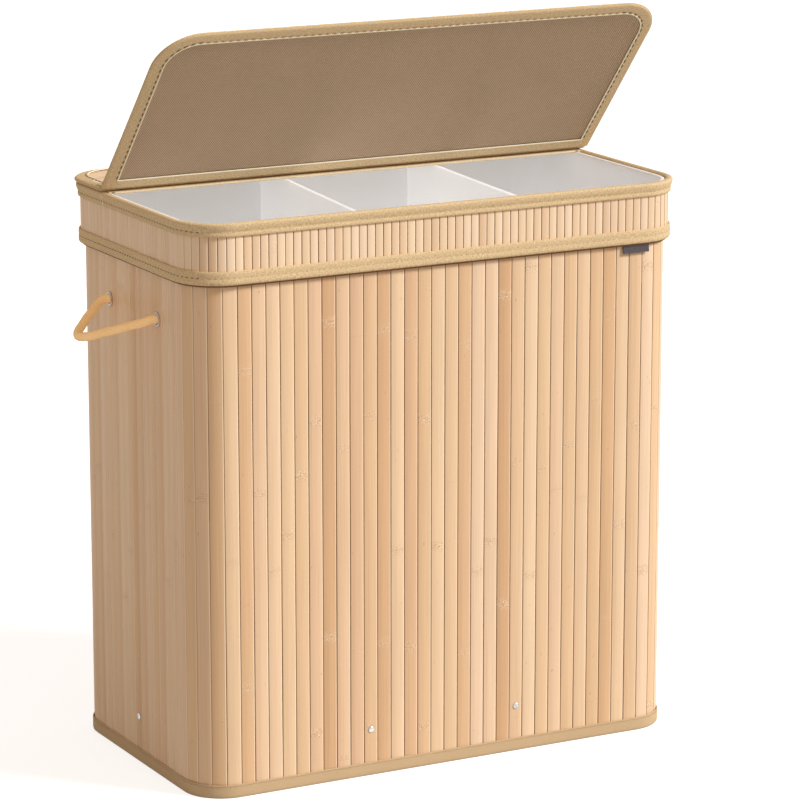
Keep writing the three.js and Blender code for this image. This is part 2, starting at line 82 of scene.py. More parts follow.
# Studio light and floor.
# A pale floor and an even white room, with one broad lamp from the right of the front.
room_light = 0.48
room_tint = (1.06, 0.89, 0.75, 1)
lamp_strength = 2.8
lamp_tint = (1, 1.02, 1.05)
lamp_turn = radians(47)
lamp_height = radians(35)
lamp_softness = radians(14)
floor_size = 14
floor_shade = 0.54
floor_glow = 0.74
white = (1, 1, 1, 1)

to_lamp = towards(lamp_turn, lamp_height)
bpy.ops.object.light_add(type="SUN", rotation=to_lamp.to_track_quat("Z", "Y").to_euler())
lamp = bpy.context.object.data
lamp.energy, lamp.color, lamp.angle = lamp_strength, lamp_tint, lamp_softness


def colour(red, green, blue):
    """A colour read off a screen, as the linear values that a shader takes."""
    shares = [channel / 255 for channel in (red, green, blue)]
    return (*[s / 12.92 if s <= 0.04045 else ((s + 0.055) / 1.055) ** 2.4 for s in shares], 1)


def fill(tree, node, inputs):
    """Fills or links a node's inputs. A colour of three numbers is one read off a screen."""
    for name, value in inputs.items():
        socket = node.inputs[name]
        if isinstance(value, bpy.types.NodeSocket):
            tree.links.new(value, socket)
        else:
            off_screen = socket.type == "RGBA" and len(value) == 3
            socket.default_value = colour(*value) if off_screen else value


def wire(tree, kind, inputs={}, **settings):
    """Adds a node to a tree, with its settings, and fills or links its inputs."""
    made = tree.nodes.new(kind)
    for name, value in settings.items():
        setattr(made, name, value)
    fill(tree, made, inputs)
    return made


def maths(tree, operation, *values):
    """One sum on up to three values, as an output to link."""
    return wire(tree, "ShaderNodeMath", dict(enumerate(values)), operation=operation).outputs[0]


def times(tree, *values):
    """Two values multiplied, and a third one added where it is given."""
    return maths(tree, "MULTIPLY_ADD" if len(values) > 2 else "MULTIPLY", *values)


def blend(tree, share, first, second):
    """The first colour turning into the second as the share goes from 0 to 1."""
    inputs = {0: share, 6: first, 7: second}
    return wire(tree, "ShaderNodeMix", inputs, data_type="RGBA").outputs[2]


def seen_straight(tree):
    """1 for what the camera sees, also in metal, and 0 for light that falls on the object."""
    rays = wire(tree, "ShaderNodeLightPath").outputs
    straight = maths(tree, "MAXIMUM", rays["Is Camera Ray"], rays["Is Glossy Ray"])
    return maths(tree, "MAXIMUM", straight, rays["Is Transmission Ray"])


def bare_tree(owner):
    """The shader tree of the world or a material, with nothing in it."""
    owner.use_nodes = True
    owner.node_tree.nodes.clear()
    return owner.node_tree


def new_piece(name, add, scale=(1, 1, 1), **settings):
    """What an operator adds, alone selected, with its place, turn and scale put into its mesh."""
    bpy.ops.object.select_all(action="DESELECT")
    add(**settings)
    piece = bpy.context.object
    piece.name = name
    piece.scale = scale
    bpy.ops.object.transform_apply(location=True, rotation=True, scale=True)
    return piece


scene.world = bpy.data.worlds.new("room")
tree = bare_tree(scene.world)
seen = seen_straight(tree)
strength = times(tree, seen, 1 - room_light, room_light)
walls = blend(tree, seen, room_tint, white)
glow = wire(tree, "ShaderNodeBackground", {"Color": walls, "Strength": strength})
wire(tree, "ShaderNodeOutputWorld", {"Surface": glow.outputs[0]})

studio_floor = new_piece("studio_floor", bpy.ops.mesh.primitive_plane_add, size=floor_size)
paint = bpy.data.materials.new("pale_floor")
tree = bare_tree(paint)
matt = wire(tree, "ShaderNodeBsdfDiffuse", {"Color": (floor_shade, floor_shade, floor_shade, 1)})
shine = wire(tree, "ShaderNodeEmission", {"Strength": times(tree, seen_straight(tree), floor_glow)})
both = wire(tree, "ShaderNodeAddShader", {0: matt.outputs[0], 1: shine.outputs[0]})
wire(tree, "ShaderNodeOutputMaterial", {"Surface": both.outputs[0]})
studio_floor.data.materials.append(paint)

# Rope handles.
# A soft, pale golden cotton rope on each end wall. It runs in through two eyelets and is knotted behind
# them, so the loop between the eyelets stands out and hangs a little.
sides = {"left": -1, "right": 1}
ends = {"front": -1, "back": 1}
body_width = 0.610
body_depth = 0.335
corner_radius = 0.047
rope_radius = 0.005
rope_relief = 0.00022
# The rope's emission is painted light: it makes the rope brighter than the lamps light it.
rope_painted_glow = 0.27
rope_strands = 3
rope_twist_length = 0.034
rope_fibre_pitch = 0.0011
rope_fibre_slant = 0.9
rope_sides = 18
rope_step = 0.0016
rope_height = 0.529
rope_hole_from_middle = 0.064
rope_hinge_from_middle = 0.3128
rope_droop = radians(19)
rope_half_loop = [
    (0, 63.5, 0), (7.5, 60.4, -0.2), (17, 52.6, -0.8), (28, 42.8, -1.5), (39, 32.8, -2.4), (50, 22.2, -3.3),
    (59, 11.2, -4.1), (62.8, 0, -4.5),
]
millimetre = 0.001
knot_from_middle = body_width / 2 - 0.0109
knot_radius = 0.009
knot_half_length = 0.0065
knot_turns = 3
knot_groove = 0.0007


def paint_over(piece, surface):
    piece.data.materials.clear()
    piece.data.materials.append(surface)


def finish(piece, body, slot, surface, *nodes):
    """Gives a piece its material and puts it on its body in place of CAD nodes. Its slot is not used."""
    paint_over(piece, surface)
    if body:
        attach(piece, body)
    if nodes:
        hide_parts(*nodes)


def new_material(name, **constants):
    """A material and its tree, with these constants in its Principled shader."""
    surface = bpy.data.materials.new(name)
    surface.use_nodes = True
    tree = surface.node_tree
    inputs = {socket.replace("_", " "): value for socket, value in constants.items()}
    fill(tree, tree.nodes["Principled BSDF"], inputs)
    return surface, tree


def coated(surface, tint, height, depth, **more):
    """The material with its colour, its bumps of a depth in metres, and more linked to its shader."""
    tree = surface.node_tree
    bump = wire(tree, "ShaderNodeBump", {"Height": height, "Distance": depth, "Strength": 1.0})
    inputs = {"Base Color": tint, "Normal": bump.outputs[0], **more}
    fill(tree, tree.nodes["Principled BSDF"], inputs)
    return surface


def spread(tree, value, low, high, to_low=0.0, to_high=1.0):
    """A value's stretch from low to high, spread over another stretch and held at its ends."""
    inputs = {0: value, 1: low, 2: high, 3: to_low, 4: to_high}
    return wire(tree, "ShaderNodeMapRange", inputs).outputs[0]


def speckle(tree, place, scale, detail=2.0):
    """Smooth noise at a place, from 0 to 1. Its scale may be three, for X, Y and Z."""
    if isinstance(scale, tuple):
        place = wire(tree, "ShaderNodeVectorMath", {0: place, 1: scale}, operation="MULTIPLY").outputs[0]
        scale = 1.0
    inputs = {"Vector": place, "Scale": scale, "Detail": detail, "Roughness": 0.5}
    return wire(tree, "ShaderNodeTexNoise", inputs).outputs["Fac"]


def cotton_rope():
    # Its faint golden emission is painted light.
    surface, tree = new_material(
        "cotton_rope", Roughness=0.8, Sheen_Weight=1.0, Sheen_Roughness=0.5, Sheen_Tint=(255, 214, 150),
        Emission_Color=(255, 202, 136), Emission_Strength=rope_painted_glow,
    )
    place = wire(tree, "ShaderNodeUVMap", uv_map="cloth").outputs[0]
    parts = wire(tree, "ShaderNodeSeparateXYZ", {0: place}).outputs
    slant = times(tree, parts[0], rope_fibre_slant, parts[1])
    ply = maths(tree, "SINE", times(tree, slant, 2 * pi / rope_fibre_pitch))
    fuzz = speckle(tree, place, (450, 800, 1.0), detail=3)
    worn = speckle(tree, place, (60, 90, 1.0))
    tint = blend(tree, spread(tree, fuzz, 0.3, 0.7), (234, 184, 122), (255, 224, 172))
    tint = blend(tree, spread(tree, worn, 0.45, 0.75, 0, 0.45), tint, (255, 226, 178))
    return coated(surface, tint, times(tree, ply, 0.3, fuzz), 0.00025)


def distances(line):
    """How far along a line each of its points lies. The last is the line's length."""
    return [0, *accumulate((b - a).length for a, b in zip(line, line[1:]))]


def smooth_line(points, step):
    """A round curve through the points, as points about a step apart."""
    reached = [2 * points[0] - points[1], *points, 2 * points[-1] - points[-2]]
    line = []
    for four in zip(reached, reached[1:], reached[2:], reached[3:]):
        at = [0, *accumulate((b - a).length ** 0.5 for a, b in zip(four, four[1:]))]
        pieces = max(2, round((four[2] - four[1]).length / step))
        for k in range(pieces):
            now = at[1] + (at[2] - at[1]) * k / pieces
            row = four
            for wide in (1, 2):
                shares = [(now - at[i]) / (at[i + wide] - at[i]) for i in range(4 - wide)]
                row = [a.lerp(b, share) for a, b, share in zip(row, row[1:], shares)]
            line.append(row[0].lerp(row[1], (now - at[1]) / (at[2] - at[1])))
    return [*line, points[-1]]


def laid_rope(name, line):
    """A rope of twisted strands along a line, with closed ends."""
    mesh = bpy.data.meshes.new(name)
    cage = bmesh.new()
    cloth = cage.loops.layers.uv.new("cloth")
    walked = distances(line)
    side = Vector((0, 0, 1))
    rings = []
    for step, point in enumerate(line):
        ahead = (line[min(step + 1, len(line) - 1)] - line[max(step - 1, 0)]).normalized()
        side = (side - side.dot(ahead) * ahead).normalized()
        up = ahead.cross(side)
        twist = 2 * pi * walked[step] / rope_twist_length
        rings.append([])
        for k in range(rope_sides):
            angle = 2 * pi * k / rope_sides
            reach = rope_radius + rope_relief * cos(rope_strands * angle - twist)
            rings[-1].append(cage.verts.new(point + reach * (cos(angle) * side + sin(angle) * up)))
    for step in range(len(rings) - 1):
        for k in range(rope_sides):
            corners = ((step, k), (step, k + 1), (step + 1, k + 1), (step + 1, k))
            face = cage.faces.new([rings[s][t % rope_sides] for s, t in corners])
            face.smooth = True
            for loop, (s, t) in zip(face.loops, corners):
                loop[cloth].uv = (walked[s], 2 * pi * rope_radius * t / rope_sides)
    cage.faces.new(reversed(rings[0]))
    cage.faces.new(rings[-1])
    bmesh.ops.recalc_face_normals(cage, faces=cage.faces)
    cage.to_mesh(mesh)
    rope = bpy.data.objects.new(name, mesh)
    scene.collection.objects.link(rope)
    return rope


def rope_knot(name, place):
    """A rope end pulled into a tight round knot, with the turns of the rope showing on it."""
    add_ball = bpy.ops.mesh.primitive_uv_sphere_add
    knot = new_piece(name, add_ball, segments=32, ring_count=20, radius=knot_radius)
    knot.data.uv_layers[0].name = "cloth"
    for loop in knot.data.uv_layers["cloth"].data:
        loop.uv *= 2 * pi * knot_radius
    for point in knot.data.vertices:
        rise = point.co.z / knot_radius
        ridge = abs(sin(knot_turns * (atan2(point.co.y, point.co.x) / 2 + rise)))
        point.co *= 1 - (1 - ridge) * knot_groove / knot_radius * (1 - rise * rise)
    squat = Matrix.Diagonal((knot_half_length / knot_radius, 1, 1, 1))
    knot.data.transform(Matrix.Translation(place) @ squat)
    bpy.ops.object.shade_smooth()
    return knot


rope_stuff = cotton_rope()
loop_points = [(out, -along, sag) for out, along, sag in rope_half_loop]
loop_points += reversed(rope_half_loop[:-1])
for name, side in sides.items():
    knots = {
        f"{name}_{end}": Vector((side * knot_from_middle, way * rope_hole_from_middle, rope_height))
        for end, way in ends.items()
    }
    hung = []
    for out, along, sag in loop_points:
        reach = (out * cos(rope_droop) + sag * sin(rope_droop)) * millimetre
        drop = (sag * cos(rope_droop) - out * sin(rope_droop)) * millimetre
        spot = (side * (rope_hinge_from_middle + reach), along * millimetre, rope_height + drop)
        hung.append(Vector(spot))
    front_knot, back_knot = knots.values()
    line = smooth_line([front_knot, *hung, back_knot], rope_step)
    rope = laid_rope(name + "_rope", line)
    tied = []
    for end, place in knots.items():
        tied.append(rope_knot(end + "_tied_end", place))
        finish(tied[-1], "hamper", "rope", rope_stuff, end + "_rope_knot")
    finish(rope, None, "rope", rope_stuff, name + "_rope_handle")
    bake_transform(rope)
    distances(line)[-1]
    [tuple(point) for point in line]

# Bamboo body.
# Split bamboo slats with planed edges stand side by side, glued to a brown cloth backing that folds
# flat. Each slat has its own tone, fine fibres and a speckled joint now and then.
slat_pitch = 0.017
slat_gap = 0.0007
slat_thickness = 0.0019
slat_edge = 0.0012
slat_sway = 0.0003
slat_sink = 0.00025
backing_thickness = 0.0005
body_low, body_high = (corner.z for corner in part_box("body_mat"))
core_x, core_y = body_width / 2 - corner_radius, body_depth / 2 - corner_radius
eyelet_barrel = 0.0066
hole_clearance = 0.0003
hole_depth = 2 * corner_radius / 3
rivet_shank = 0.0016
rivet_height = 0.054
rivet_from_middle = 0.094
rivet_spots = {
    f"{end}_{name}": (side * rivet_from_middle, way * body_depth / 2, way * 90)
    for end, way in ends.items() for name, side in sides.items()
}
rivet_spots.update({name: (side * body_width / 2, 0, 90 - side * 90) for name, side in sides.items()})
eyelet_spots = {
    f"{name}_{end}": (side * body_width / 2, way * rope_hole_from_middle, 90 - side * 90)
    for name, side in sides.items() for end, way in ends.items()
}


def circled(angle):
    """The point of a circle of radius 1 at an angle from X."""
    return Vector((cos(angle), sin(angle), 0))


def outline(offset, steps=24):
    """The body's rounded outline at an offset outwards, from the front's middle round to it again."""
    line = [Vector((0, -body_depth / 2 - offset, 0))]
    for quarter, (x, y) in enumerate([(1, -1), (1, 1), (-1, 1), (-1, -1)]):
        for step in range(steps + 1):
            out = circled(pi / 2 * (quarter - 1 + step / steps))
            line.append(Vector((x * core_x, y * core_y, 0)) + (corner_radius + offset) * out)
    return [*line, line[0]]


def walk(line, count):
    """Points that share a line out evenly, the first at its start and the last at its end."""
    walked = distances(line)
    places, step = [], 0
    for k in range(count + 1):
        distance = walked[-1] * k / count
        while step < len(line) - 2 and walked[step + 1] < distance:
            step += 1
        share = (distance - walked[step]) / (walked[step + 1] - walked[step])
        places.append(line[step].lerp(line[step + 1], share))
    return places


def held(value, low=0.0, high=1.0):
    return max(low, min(high, value))


def way_out(point):
    """The nearest point of the rectangle that the corners' middles span, and the way out from it."""
    core = Vector((held(point.x, -core_x, core_x), held(point.y, -core_y, core_y), 0))
    return core, Vector((point.x, point.y, 0)) - core


def round_the_body(point, offset=0.0):
    """How far along the outline at an offset a point lies, from the front's middle."""
    radius = corner_radius + offset
    core, out = way_out(point)
    angle = (atan2(out.y, out.x) + pi / 2) % (2 * pi)
    quarter = round(angle / (pi / 2))
    straight = quarter * (core_x + core_y) + (core.x, core.y, -core.x, -core.y, core.x)[quarter]
    return (straight + radius * angle) % (4 * (core_x + core_y) + 2 * pi * radius)


def choose(*pieces):
    """Selects these pieces and nothing else, with the first one active."""
    bpy.ops.object.select_all(action="DESELECT")
    for piece in pieces:
        piece.select_set(True)
    bpy.context.view_layer.objects.active = pieces[0]


def edit(on=True):
    """Opens the active piece's mesh, or closes it again."""
    bpy.ops.object.mode_set(mode="EDIT" if on else "OBJECT")


def take_all():
    bpy.ops.mesh.select_all(action="SELECT")


def pick(piece, kind, wanted):
    """Selects the verts, edges or faces of the open piece that are wanted."""
    bpy.ops.mesh.select_mode(type=kind[:-1].upper())
    bpy.ops.mesh.select_all(action="DESELECT")
    cage = bmesh.from_edit_mesh(piece.data)
    for part in getattr(cage, kind):
        if wanted(part):
            part.select_set(True)
    bmesh.update_edit_mesh(piece.data)


def round_edges(piece, wanted, offset, segments):
    pick(piece, "edges", wanted)
    bpy.ops.mesh.bevel(offset=offset, segments=segments, affect="EDGES")


def cut_edges(piece, wanted, cuts):
    pick(piece, "edges", wanted)
    bpy.ops.mesh.subdivide(number_cuts=cuts)


def face_outwards():
    take_all()
    bpy.ops.mesh.normals_make_consistent(inside=False)


def close_seams(threshold):
    take_all()
    bpy.ops.mesh.remove_doubles(threshold=threshold)
    face_outwards()
    edit(False)


def block(name, size, middle):
    """A box to start a piece from."""
    return new_piece(name, bpy.ops.mesh.primitive_cube_add, size, size=1, location=middle)


def upright(edge):
    return abs(edge.verts[0].co.z - edge.verts[1].co.z) > edge.calc_length() / 2


def planed_slat(width, low, high, pieces):
    """One slat with its outer edges planed round, standing with its face on the line y = 0."""
    slat = block("slat", (width, slat_thickness, high - low), (0, slat_thickness / 2, (low + high) / 2))
    edit()
    for side, planed in ((1, slat_edge), (-1, slat_edge / 3)):
        front = lambda point: point.co.y < slat_thickness / 4 and abs(side * point.co.x - width / 2) < 1e-5
        round_edges(slat, lambda edge: upright(edge) and all(map(front, edge.verts)), planed, 2)
    cut_edges(slat, upright, pieces - 1)
    edit(False)
    return slat


def many(name, pattern, places):
    """Copies of a pattern at all these places, as one piece. The pattern itself goes."""
    cage = bmesh.new()
    for place in places:
        copy = pattern.data.copy()
        copy.transform(place)
        cage.from_mesh(copy)
        bpy.data.meshes.remove(copy)
    cage.to_mesh(pattern.data)
    pattern.name = name
    return pattern


def on_chord(start, end, height=0.0):
    """The place half way from start to end, with X turned along them."""
    way, middle = end - start, (start + end) / 2
    turn = Matrix.Rotation(atan2(way.y, way.x), 4, "Z")
    return Matrix.Translation((middle.x, middle.y, height)) @ turn


def slat_ring(name, offset, pitch, low, high, pieces):
    """Slats side by side round the outline, each a little out of line."""
    line = outline(offset)
    whole = distances(line)[-1]
    count = round(whole / pitch)
    posts = walk(line, count)
    pattern = planed_slat(whole / count - slat_gap, low, high, pieces)
    corners = len(pattern.data.vertices)
    places = []
    for k in range(count):
        sink = slat_sink * (0.5 + 0.5 * noise.noise(Vector((k * 2.3, 0.7, offset))))
        places.append(on_chord(posts[k], posts[k + 1]) @ Matrix.Translation((0, sink, 0)))
    ring = many(name, pattern, places)
    for index, point in enumerate(ring.data.vertices):
        number = index // corners
        ahead = (posts[number + 1] - posts[number]).normalized()
        point.co += slat_sway * noise.noise(Vector((number * 3.7, point.co.z * 5, 0.5))) * ahead
    return ring, whole / count


def mark_grain(piece, find):
    """Marks where each point lies on its slat: across and along it in metres, and the slat's number."""
    marks = piece.data.attributes.new("grain", "FLOAT_VECTOR", "POINT")
    for point, mark in zip(piece.data.vertices, marks.data):
        mark.vector = find(point.co)


def mark_ring(ring, offset, pitch):
    """Marks the grain of a ring of slats."""

    def find(point):
        number, across = divmod(round_the_body(point, offset), pitch)
        return (across - pitch / 2, point.z, number)

    mark_grain(ring, find)


def new_group(name, inputs, outputs):
    """A node group with named sockets, and its start's outputs and its end."""
    group = bpy.data.node_groups.new(name, "ShaderNodeTree")
    for way, sockets in (("INPUT", inputs), ("OUTPUT", outputs)):
        for socket, kind in sockets.items():
            group.interface.new_socket(socket, in_out=way, socket_type="NodeSocket" + kind)
    return group, group.nodes.new("NodeGroupInput").outputs, group.nodes.new("NodeGroupOutput")


def grain_group():
    """Bamboo: a tone for each slat, fibres along it, speckled joints, flecks, a painted highlight along each
    slat's right-hand edge, and brown side faces that are partly painted shade.
    """
    tree, start, end = new_group(
        "bamboo_grain",
        {"Mark": "Vector", "Half Width": "Float", "Joint Spacing": "Float"},
        {"Color": "Color", "Height": "Float", "Roughness": "Float"},
    )
    across, up, number = wire(tree, "ShaderNodeSeparateXYZ", {0: start["Mark"]}).outputs
    number = maths(tree, "ROUND", number)
    chance = wire(tree, "ShaderNodeTexWhiteNoise", {"W": number}, noise_dimensions="1D").outputs
    draws = wire(tree, "ShaderNodeSeparateColor", {0: chance["Color"]}).outputs

    def fibres(across_scale, up_scale, number_scale, detail=2.0):
        pairs = ((across, across_scale), (up, up_scale), (number, number_scale))
        parts = {k: times(tree, *pair) for k, pair in enumerate(pairs)}
        return speckle(tree, wire(tree, "ShaderNodeCombineXYZ", parts).outputs[0], 1.0, detail)

    def centred(value):
        return maths(tree, "SUBTRACT", value, 0.5)

    fine = fibres(2300, 16, 7.31, 3)
    broad = fibres(520, 3.2, 3.17)
    slow = fibres(90, 7, 5.71)
    spots = fibres(1150, 1000, 2.9, 3)
    tones = {
        0.0: (213, 170, 128), 0.16: (224, 184, 142), 0.42: (229, 193, 152), 0.7: (236, 203, 164),
        1.0: (244, 215, 180),
    }
    toned = wire(tree, "ShaderNodeValToRGB", {"Fac": chance["Value"]})
    stops = toned.color_ramp.elements
    while len(stops) < len(tones):
        stops.new(0.5)
    for stop, (position, tone) in zip(stops, tones.items()):
        stop.position, stop.color = position, colour(*tone)
    pink = spread(tree, draws[2], 0.45, 1.0, 0, 0.4)
    drift = 1.0
    for part, amount in ((slow, 0.16), (broad, 0.28), (fine, 0.22)):
        drift = times(tree, centred(part), amount, drift)
    inputs = {"Color": blend(tree, pink, toned.outputs[0], (240, 208, 184)), "Value": drift}
    shade = wire(tree, "ShaderNodeHueSaturation", inputs).outputs[0]

    turns = maths(tree, "ADD", maths(tree, "DIVIDE", up, start["Joint Spacing"]), draws[0])
    turns = maths(tree, "FRACT", turns)
    ragged = times(tree, centred(fine), 0.003)
    from_joint = maths(tree, "ABSOLUTE", times(tree, centred(turns), start["Joint Spacing"], ragged))
    joint = spread(tree, from_joint, 0.0028, 0.0082, 1, 0)
    marked = times(tree, joint, spread(tree, draws[1], 0.1, 0.8, 0.25, 0.75))
    # How far a point lies from the nearer side face; the side faces are browned, partly as painted shade
    # between the slats.
    edge = maths(tree, "SUBTRACT", start["Half Width"], maths(tree, "ABSOLUTE", across))
    # How far a point lies from the slat's right-hand edge, where a highlight is painted.
    planed = maths(tree, "SUBTRACT", start["Half Width"], across)
    for share, tint in (
        (times(tree, spread(tree, broad, 0.56, 0.72), 0.34), (206, 158, 112)),  # streaks
        (times(tree, marked, spread(tree, spots, 0.5, 0.6)), (190, 140, 96)),  # a joint's dark spots
        (times(tree, marked, spread(tree, spots, 0.42, 0.48, 1, 0)), (252, 232, 200)),  # and its pale ones
        (times(tree, spread(tree, from_joint, 0.0002, 0.0011, 1, 0), 0.1), (172, 122, 82)),  # its ring
        (times(tree, spread(tree, fibres(430, 120, 9.7), 0.73, 0.79), 0.55), (150, 98, 60)),  # flecks
        (spread(tree, planed, 0.0009, 0.0017, 0.75, 0), (255, 238, 208)),  # a painted highlight along the right-hand planed edge
        (spread(tree, edge, 0.0, 0.00025, 0.55, 0), (160, 116, 76)),  # both side faces, brown: partly the cut edge's own colour, partly painted shade in the gaps
    ):
        shade = blend(tree, share, shade, tint)
    height = times(tree, joint, 0.8, times(tree, fine, 0.6, broad))
    rough = spread(tree, broad, 0.3, 0.7, 0.42, 0.56)
    fill(tree, end, {"Color": shade, "Height": height, "Roughness": rough})
    return tree


bamboo_grain = grain_group()


def bamboo(name, pitch, joint_spacing, tint, tint_share):
    """Planed bamboo for slats of one pitch, drawn a little towards a tint."""
    surface, tree = new_material(name, Specular_IOR_Level=0.22)
    mark = wire(tree, "ShaderNodeAttribute", attribute_name="grain").outputs["Vector"]
    inputs = {"Mark": mark, "Half Width": (pitch - slat_gap) / 2, "Joint Spacing": joint_spacing}
    grain = wire(tree, "ShaderNodeGroup", inputs, node_tree=bamboo_grain).outputs
    tinted = blend(tree, tint_share, grain["Color"], tint)
    return coated(surface, tinted, grain["Height"], 0.00008, Roughness=grain["Roughness"])


def swept_band(name, section, straight_cuts=9, corner_pieces=12):
    """A closed section of (offset, height) points swept round the body's outline."""
    offset, height = section[0]
    scale = (body_width + 2 * offset, body_depth + 2 * offset, 1)
    band = new_piece(name, bpy.ops.mesh.primitive_plane_add, scale, size=1, location=(0, 0, height))
    edit()
    take_all()
    bpy.ops.mesh.bevel(offset=corner_radius + offset, affect="VERTICES", segments=corner_pieces)
    bpy.ops.mesh.delete(type="ONLY_FACE")
    cut_edges(band, lambda edge: edge.calc_length() > corner_radius, straight_cuts)
    take_all()
    for offset, height in [*section[1:], section[0]]:
        bpy.ops.mesh.extrude_edges_move()
        for point in bmesh.from_edit_mesh(band.data).verts:
            if point.select:
                core, out = way_out(point.co)
                point.co = core + (corner_radius + offset) * out.normalized() + Vector((0, 0, height))
        bmesh.update_edit_mesh(band.data)
    close_seams(1e-5)
    return band


def upright_band(name, offset, thickness, low, high):
    """A thin upright band of cloth, with its face at an offset."""
    inner = offset - thickness
    return swept_band(name, [(offset, low), (offset, high), (inner, high), (inner, low)])


def mm(*section):
    """Section points typed in millimetres, in metres."""
    return [(offset * millimetre, height * millimetre) for offset, height in section]


def smooth(piece, degrees=35):
    choose(piece)
    bpy.ops.object.shade_smooth_by_angle(angle=radians(degrees))


def drill(piece, cutter):
    """Cuts the cutter's shape out of a piece."""
    choose(piece)
    cut = piece.modifiers.new("holes", "BOOLEAN")
    cut.operation, cut.solver, cut.object = "DIFFERENCE", "FAST", cutter
    bpy.ops.object.modifier_apply(modifier=cut.name)


body_slats, body_pitch = slat_ring("body_slats", 0, slat_pitch, body_low, body_high, 6)
backing_offset = -slat_thickness - slat_sink
body_backing = upright_band("body_backing", backing_offset, backing_thickness, body_low, body_high)
drills = []
for spots, radius, height in (
    (eyelet_spots, eyelet_barrel + hole_clearance, rope_height),
    (rivet_spots, rivet_shank + hole_clearance, rivet_height),
):
    for x, y, turn in spots.values():
        place = {"location": (x, y, height), "rotation": (pi / 2, 0, radians(turn - 90))}
        bore = {"vertices": 24, "radius": radius, "depth": hole_depth}
        drills.append(new_piece("drill", bpy.ops.mesh.primitive_cylinder_add, **bore, **place))
choose(*drills)
bpy.ops.object.join()
for piece in (body_slats, body_backing):
    drill(piece, drills[0])
    smooth(piece)
bpy.data.objects.remove(drills[0])
mark_ring(body_slats, 0, body_pitch)
body_bamboo = bamboo("body_bamboo", body_pitch, 0.36, (230, 194, 152), 0.15)
finish(body_slats, "hamper", "bamboo", body_bamboo, "body_mat")


def weave_group():
    """Woven cloth: fine crossing threads that swell and thin, for a place given in metres."""
    tree, start, end = new_group(
        "weave",
        {"Place": "Vector", "Thread": "Float", "Pattern": "Float", "Slub": "Float"},
        {"Tone": "Float", "Height": "Float"},
    )
    inputs = {0: start["Place"], "Scale": maths(tree, "DIVIDE", 1.0, start["Thread"])}
    even = wire(tree, "ShaderNodeVectorMath", inputs, operation="SCALE").outputs[0]
    parts = wire(tree, "ShaderNodeSeparateXYZ", {0: even}).outputs
    crossing = times(tree, *[maths(tree, "SINE", times(tree, part, 2 * pi)) for part in parts[:2]])
    weft, warp = (speckle(tree, even, scale) for scale in ((0.4, 1.1, 1.0), (1.1, 0.4, 1.0)))
    swell = maths(tree, "SUBTRACT", maths(tree, "ADD", weft, warp), 1.0)
    tone = times(tree, swell, start["Slub"], times(tree, crossing, start["Pattern"], 0.5))
    height = maths(tree, "ADD", tone, times(tree, crossing, 0.3))
    fill(tree, end, {"Tone": tone, "Height": height})
    return tree


weave = weave_group()


def cloth(name, light, dark, thread, pattern=0.1, slub=1.6, depth=0.00015, woven_edge=None, **constants):
    """Woven cloth between a light and a dark thread colour, on a piece's cloth map, turned paler where a
    piece marks a painted highlight.
    """
    surface, tree = new_material(name, **constants)
    place = wire(tree, "ShaderNodeUVMap", uv_map="cloth").outputs[0]
    inputs = {"Place": place, "Thread": thread, "Pattern": pattern, "Slub": slub}
    woven = wire(tree, "ShaderNodeGroup", inputs, node_tree=weave).outputs
    shade = blend(tree, spread(tree, woven["Tone"], 0.0, 1.0), dark, light)
    # A paler colour where the piece marks it: a painted highlight on raised folds and lips.
    if woven_edge:
        highlight_share = wire(tree, "ShaderNodeAttribute", attribute_name="woven_edge").outputs["Fac"]
        shade = blend(tree, highlight_share, shade, woven_edge)
    value = times(tree, speckle(tree, place, 14), 0.1, 0.95)
    shade = wire(tree, "ShaderNodeHueSaturation", {"Color": shade, "Value": value}).outputs[0]
    return coated(surface, shade, woven["Height"], depth)


def mark_painted_highlight(piece, share):
    """Marks how much painted highlight each point gets, from 0 to 1: a paler colour that stands for light
    catching a raised fold or lip.
    """
    marks = piece.data.attributes.new("woven_edge", "FLOAT", "POINT")
    for point, mark in zip(piece.data.vertices, marks.data):
        mark.value = share(point.co)


def cloth_map(piece, place, whole=None):
    """Lays a piece's cloth map in metres. Where the map runs round the body, whole is its full run."""
    layer = piece.data.uv_layers.get("cloth") or piece.data.uv_layers.new(name="cloth")
    for face in piece.data.polygons:
        spots = [place(piece.data.vertices[index].co) for index in face.vertices]
        furthest = max(spot[0] for spot in spots)
        for loop, (along, across) in zip(face.loop_indices, spots):
            if whole and furthest - along > whole / 2:
                along += whole
            layer.data[loop].uv = (along, across)


whole_way = distances(outline(0))[-1]


def map_round(band):
    """Lays the cloth map of a band along the outline, and up and over the band."""
    up_and_over = lambda point: point.z - way_out(point)[1].length + corner_radius
    cloth_map(band, lambda point: (round_the_body(point), up_and_over(point)), whole_way)


def circling(point):
    """The point of a circle of radius 1 that lies as far round it as a point lies round the body."""
    return circled(round_the_body(point) / whole_way * 2 * pi)


def uneven(piece, amount, reach=0.05):
    """Moves a band's points about a little, as hand-sewn tape lies, but none below the floor."""
    for point in piece.data.vertices:
        out = way_out(point.co)[1].normalized()
        ring = circling(point.co) * whole_way / reach / (2 * pi)
        point.co += amount * noise.noise(ring + Vector((0, 0, point.co.z / reach))) * out
        point.co.z = max(0.0, point.co.z + 0.7 * amount * noise.noise(ring + Vector((7.5, 0, 0))))


def half_girth(section):
    """Half of the way round a section: the width of the tape that it is made of."""
    return distances([Vector((*point, 0)) for point in [*section, section[0]]])[-1] / 2


def sewn_tape(name, section, body, slot, surface, *nodes, amount=0.0002):
    """A tape folded round an edge of the wall."""
    tape = swept_band(name, section)
    uneven(tape, amount)
    map_round(tape)
    smooth(tape, 50)
    finish(tape, body, slot, surface, *nodes)
    half_girth(section)


def back_with_cloth(band, body):
    """Finishes the cloth that a wall's slats are glued to."""
    map_round(band)
    finish(band, body, "lining", backing_cloth)


